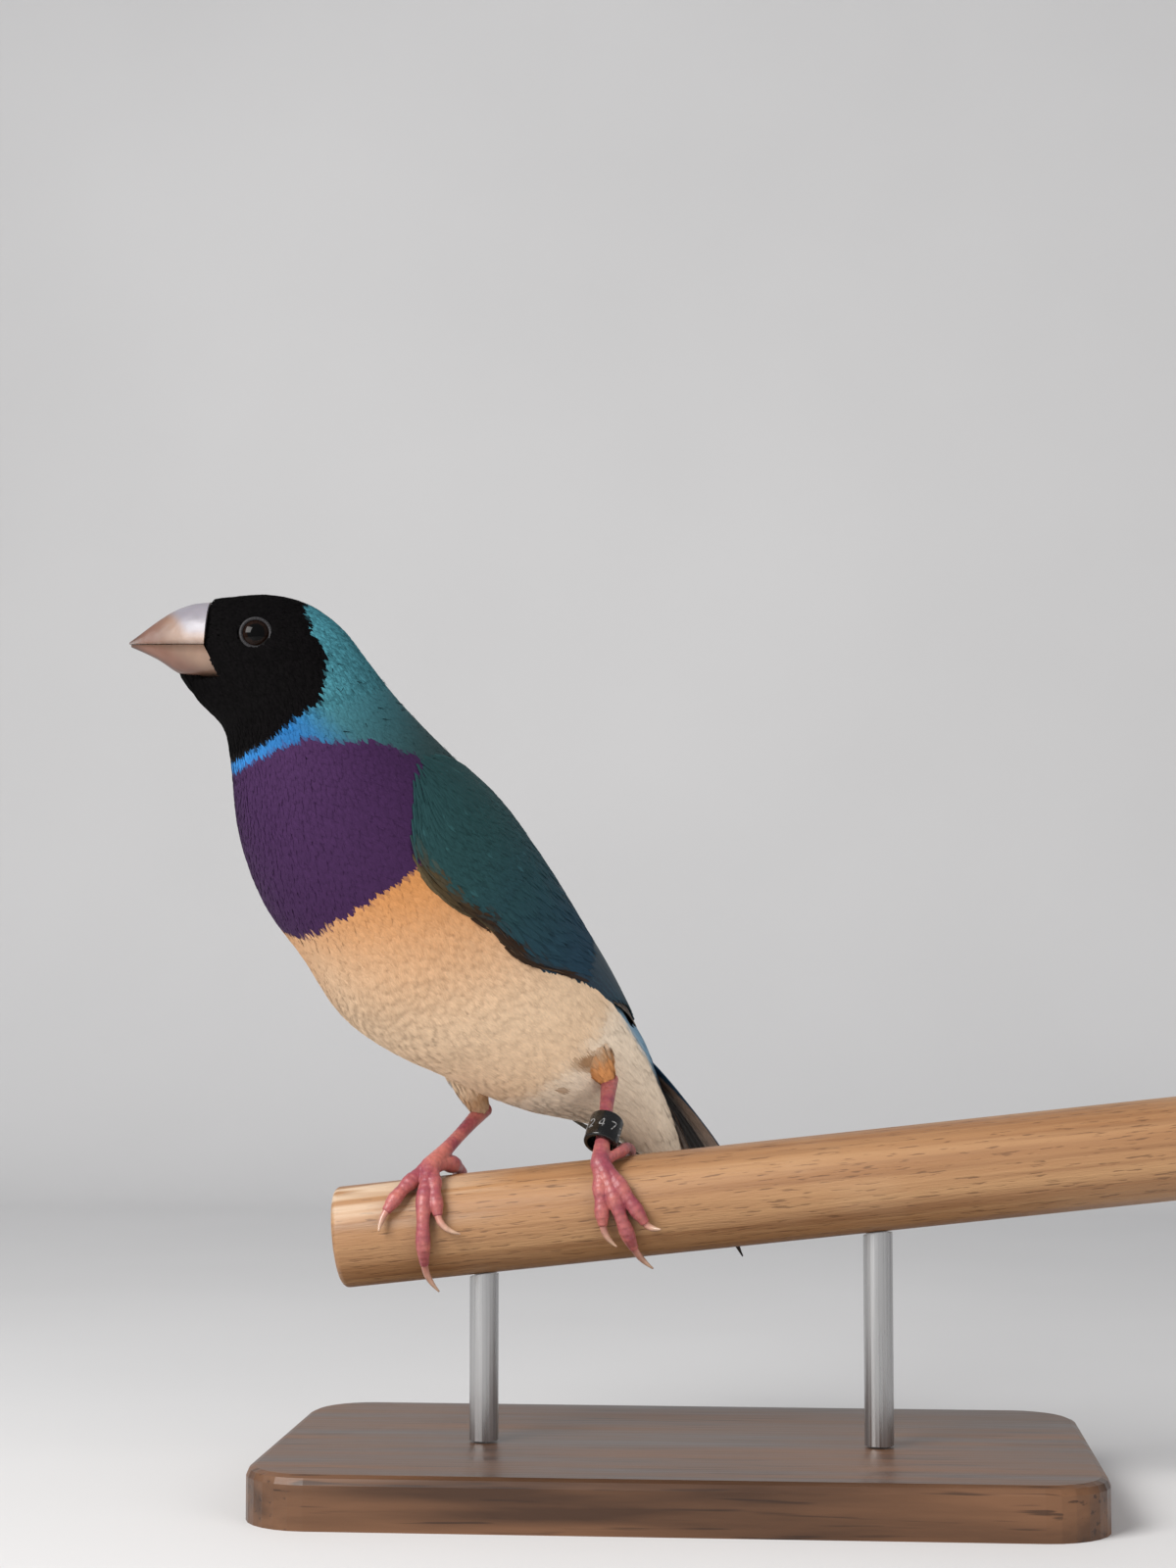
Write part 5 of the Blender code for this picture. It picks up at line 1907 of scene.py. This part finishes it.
def make_dowel():
    slope = np.array([math.cos(PERCH_SLOPE), 0.0, math.sin(PERCH_SLOPE)])
    start, end = perch_axis(PERCH_LEFT), perch_axis(PERCH_RIGHT)
    length = np.linalg.norm(end - start)
    edge = np.linspace(0.0, math.pi / 2, 7)
    inward, shrunk = PERCH_WORN * (1 - np.cos(edge)), PERCH_WORN * (1 - np.sin(edge))
    at = np.concatenate([inward, np.linspace(3, length - 3, PERCH_STEPS), length - inward[::-1]])
    radius = PERCH_RADIUS - np.concatenate([shrunk, np.zeros(PERCH_STEPS), shrunk[::-1]])
    turns = turns_of(PERCH_SIDES)
    ridges = 0.03 * np.sin(turns * 23 + 1.0) + 0.02 * np.sin(turns * 37)
    middles = start + slope * at[:, None]
    rings = ring_round(middles, slope + 0 * middles, radius, PERCH_SIDES)
    out = unit(rings - middles[:, None])
    rings = rings - out * np.abs(ridges)[None, :, None]
    dowel = new_piece("dowel", rings, tube_faces(len(at), PERCH_SIDES), dowel_finish())
    dowel.data.set_sharp_from_angle(angle=math.radians(50))
    print(f"dowel: {round(float(length), 1)} mm long")
    return put(dowel, "dowel_beech", "perch")


make_dowel()


# %% Walnut and steel
def walnut_finish():
    made, tree, shader = new_finish("walnut_oiled", 0.4, 0.4, coat=0.1, coat_roughness=0.3)
    grain = noise(tree, 60.0, 6.0, (0.25, 3.0, 3.0))
    pores = noise(tree, 420.0, 2.0, (0.12, 3.0, 3.0))
    colour = spread(tree, grain, 0.35, 0.65, 0.0, 1.0)
    colour = colour_mix(tree, colour, (0.05, 0.022, 0.01, 1), (0.17, 0.08, 0.038, 1))
    colour = colour_mix(tree, spread(tree, pores, 0.6, 0.68, 0.0, 0.7), colour, (0.02, 0.009, 0.005, 1))
    paint(tree, shader, colour)
    roughen(tree, shader, grain, 0.3, 0.5)
    bump(tree, shader, maths(tree, "SUBTRACT", grain, pores), 0.00012, 0.5)
    return made


def steel_finish():
    made, tree, shader = new_finish("rod_steel", 0.3, 0.5)
    shader.inputs["Metallic"].default_value = 1.0
    lines = noise(tree, 300.0, 4.0, (6.0, 6.0, 0.1))
    paint(tree, shader, grey(tree, spread(tree, lines, 0.3, 0.7, 0.42, 0.6)))
    roughen(tree, shader, lines, 0.22, 0.4)
    bump(tree, shader, lines, 0.00002)
    return made


def refinish(name, finish):
    mesh = frame["nodes"][name].data
    mesh.materials.clear()
    mesh.materials.append(finish)


refinish("stand_base", walnut_finish())
STEEL = steel_finish()
refinish("stand_rod_left", STEEL)
refinish("stand_rod_right", STEEL)
print("stand finished")

# %% [markdown]
# ## Floor, light and camera
#
# A pale floor that curves up into a pale wall keeps all attention on the bird. Light comes from
# a large soft panel high on the left, as in the photograph, with a weaker one opposite and a
# dim, even room round them. The camera stands where the photograph was taken from: a hand's
# breadth above the floor, turned a little, looking slightly up.

# %% Floor
FLOOR_FRONT = -1500.0
FLOOR_HALF = 1600.0
WALL_START = 450.0
WALL_TOP = 1400.0
BEND = 150.0


def make_floor():
    made, tree, shader = new_finish("floor_pale", 0.8, 0.2)
    paint(tree, shader, grey(tree, varied(tree, 6.0, 0.68, 0.72)))
    turns = np.linspace(0, math.pi / 2, 16)
    profile = [(FLOOR_FRONT, 0.0)]
    profile += [(WALL_START + BEND * math.sin(a), BEND * (1 - math.cos(a))) for a in turns]
    profile.append((WALL_START + BEND, WALL_TOP))
    points = [(x, y, z - PERCH_HEIGHT) for y, z in profile for x in (-FLOOR_HALF, FLOOR_HALF)]
    faces = [(2 * i, 2 * i + 1, 2 * i + 3, 2 * i + 2) for i in range(len(profile) - 1)]
    new_piece("floor", points, faces, made)
    print(f"floor: {len(faces)} faces")


make_floor()


# %% Lights
def panel(name, place, aim, size, power, colour):
    lamp = bpy.data.lights.new(name, "AREA")
    lamp.shape, lamp.size = "SQUARE", size
    lamp.energy, lamp.color = power, colour
    obj = shown(name, lamp)
    obj.location = place
    away = np.array(place) - np.array(aim)
    tilt, turn = math.acos(away[2] / np.linalg.norm(away)), math.atan2(away[1], away[0])
    obj.rotation_euler = (tilt, 0.0, turn + math.pi / 2)
    return obj


AIM = (-0.02, 0.0, 0.07)
panel("key_panel", (-0.36, -0.4, 0.42), AIM, 0.34, 5.0, (1.0, 0.98, 0.96))
fill = panel("fill_panel", (0.5, -0.5, 0.25), AIM, 0.5, 2.0, (1.0, 0.95, 0.9))
fill.visible_glossy = False
world = bpy.data.worlds.new("soft_room")
world.use_nodes = True
world.node_tree.nodes["Background"].inputs[0].default_value = (0.92, 0.94, 1.0, 1.0)
world.node_tree.nodes["Background"].inputs[1].default_value = 0.35
bpy.context.scene.world = world
print("lights:", ", ".join(lamp.name for lamp in bpy.data.lights))

# %% Camera
CAMERA_AT = np.array((30.9, -375.7, 32.4))
CAMERA_TURN = 4.7
CAMERA_TILT = 4.1
FOCAL_PIXELS = 2770.0
IMAGE_HEIGHT = 1600.0
SENSOR = 36.0
camera_data = bpy.data.cameras.new("camera")
camera_data.sensor_width = SENSOR
camera_data.lens = FOCAL_PIXELS / IMAGE_HEIGHT * SENSOR
camera_data.clip_start, camera_data.clip_end = 0.01, 20.0
camera = shown("camera", camera_data)
camera.location = (CAMERA_AT + PLACE) * MM
camera.rotation_euler = (math.radians(90 + CAMERA_TILT), 0.0, math.radians(CAMERA_TURN))
bpy.context.scene.camera = camera
bpy.context.scene.view_settings.view_transform = "Standard"
print("lens in mm:", round(camera_data.lens, 1))

# %% Spare shapes, and the end
for spare in (VANE, LOCK, HAIR):
    bpy.data.objects.remove(spare)
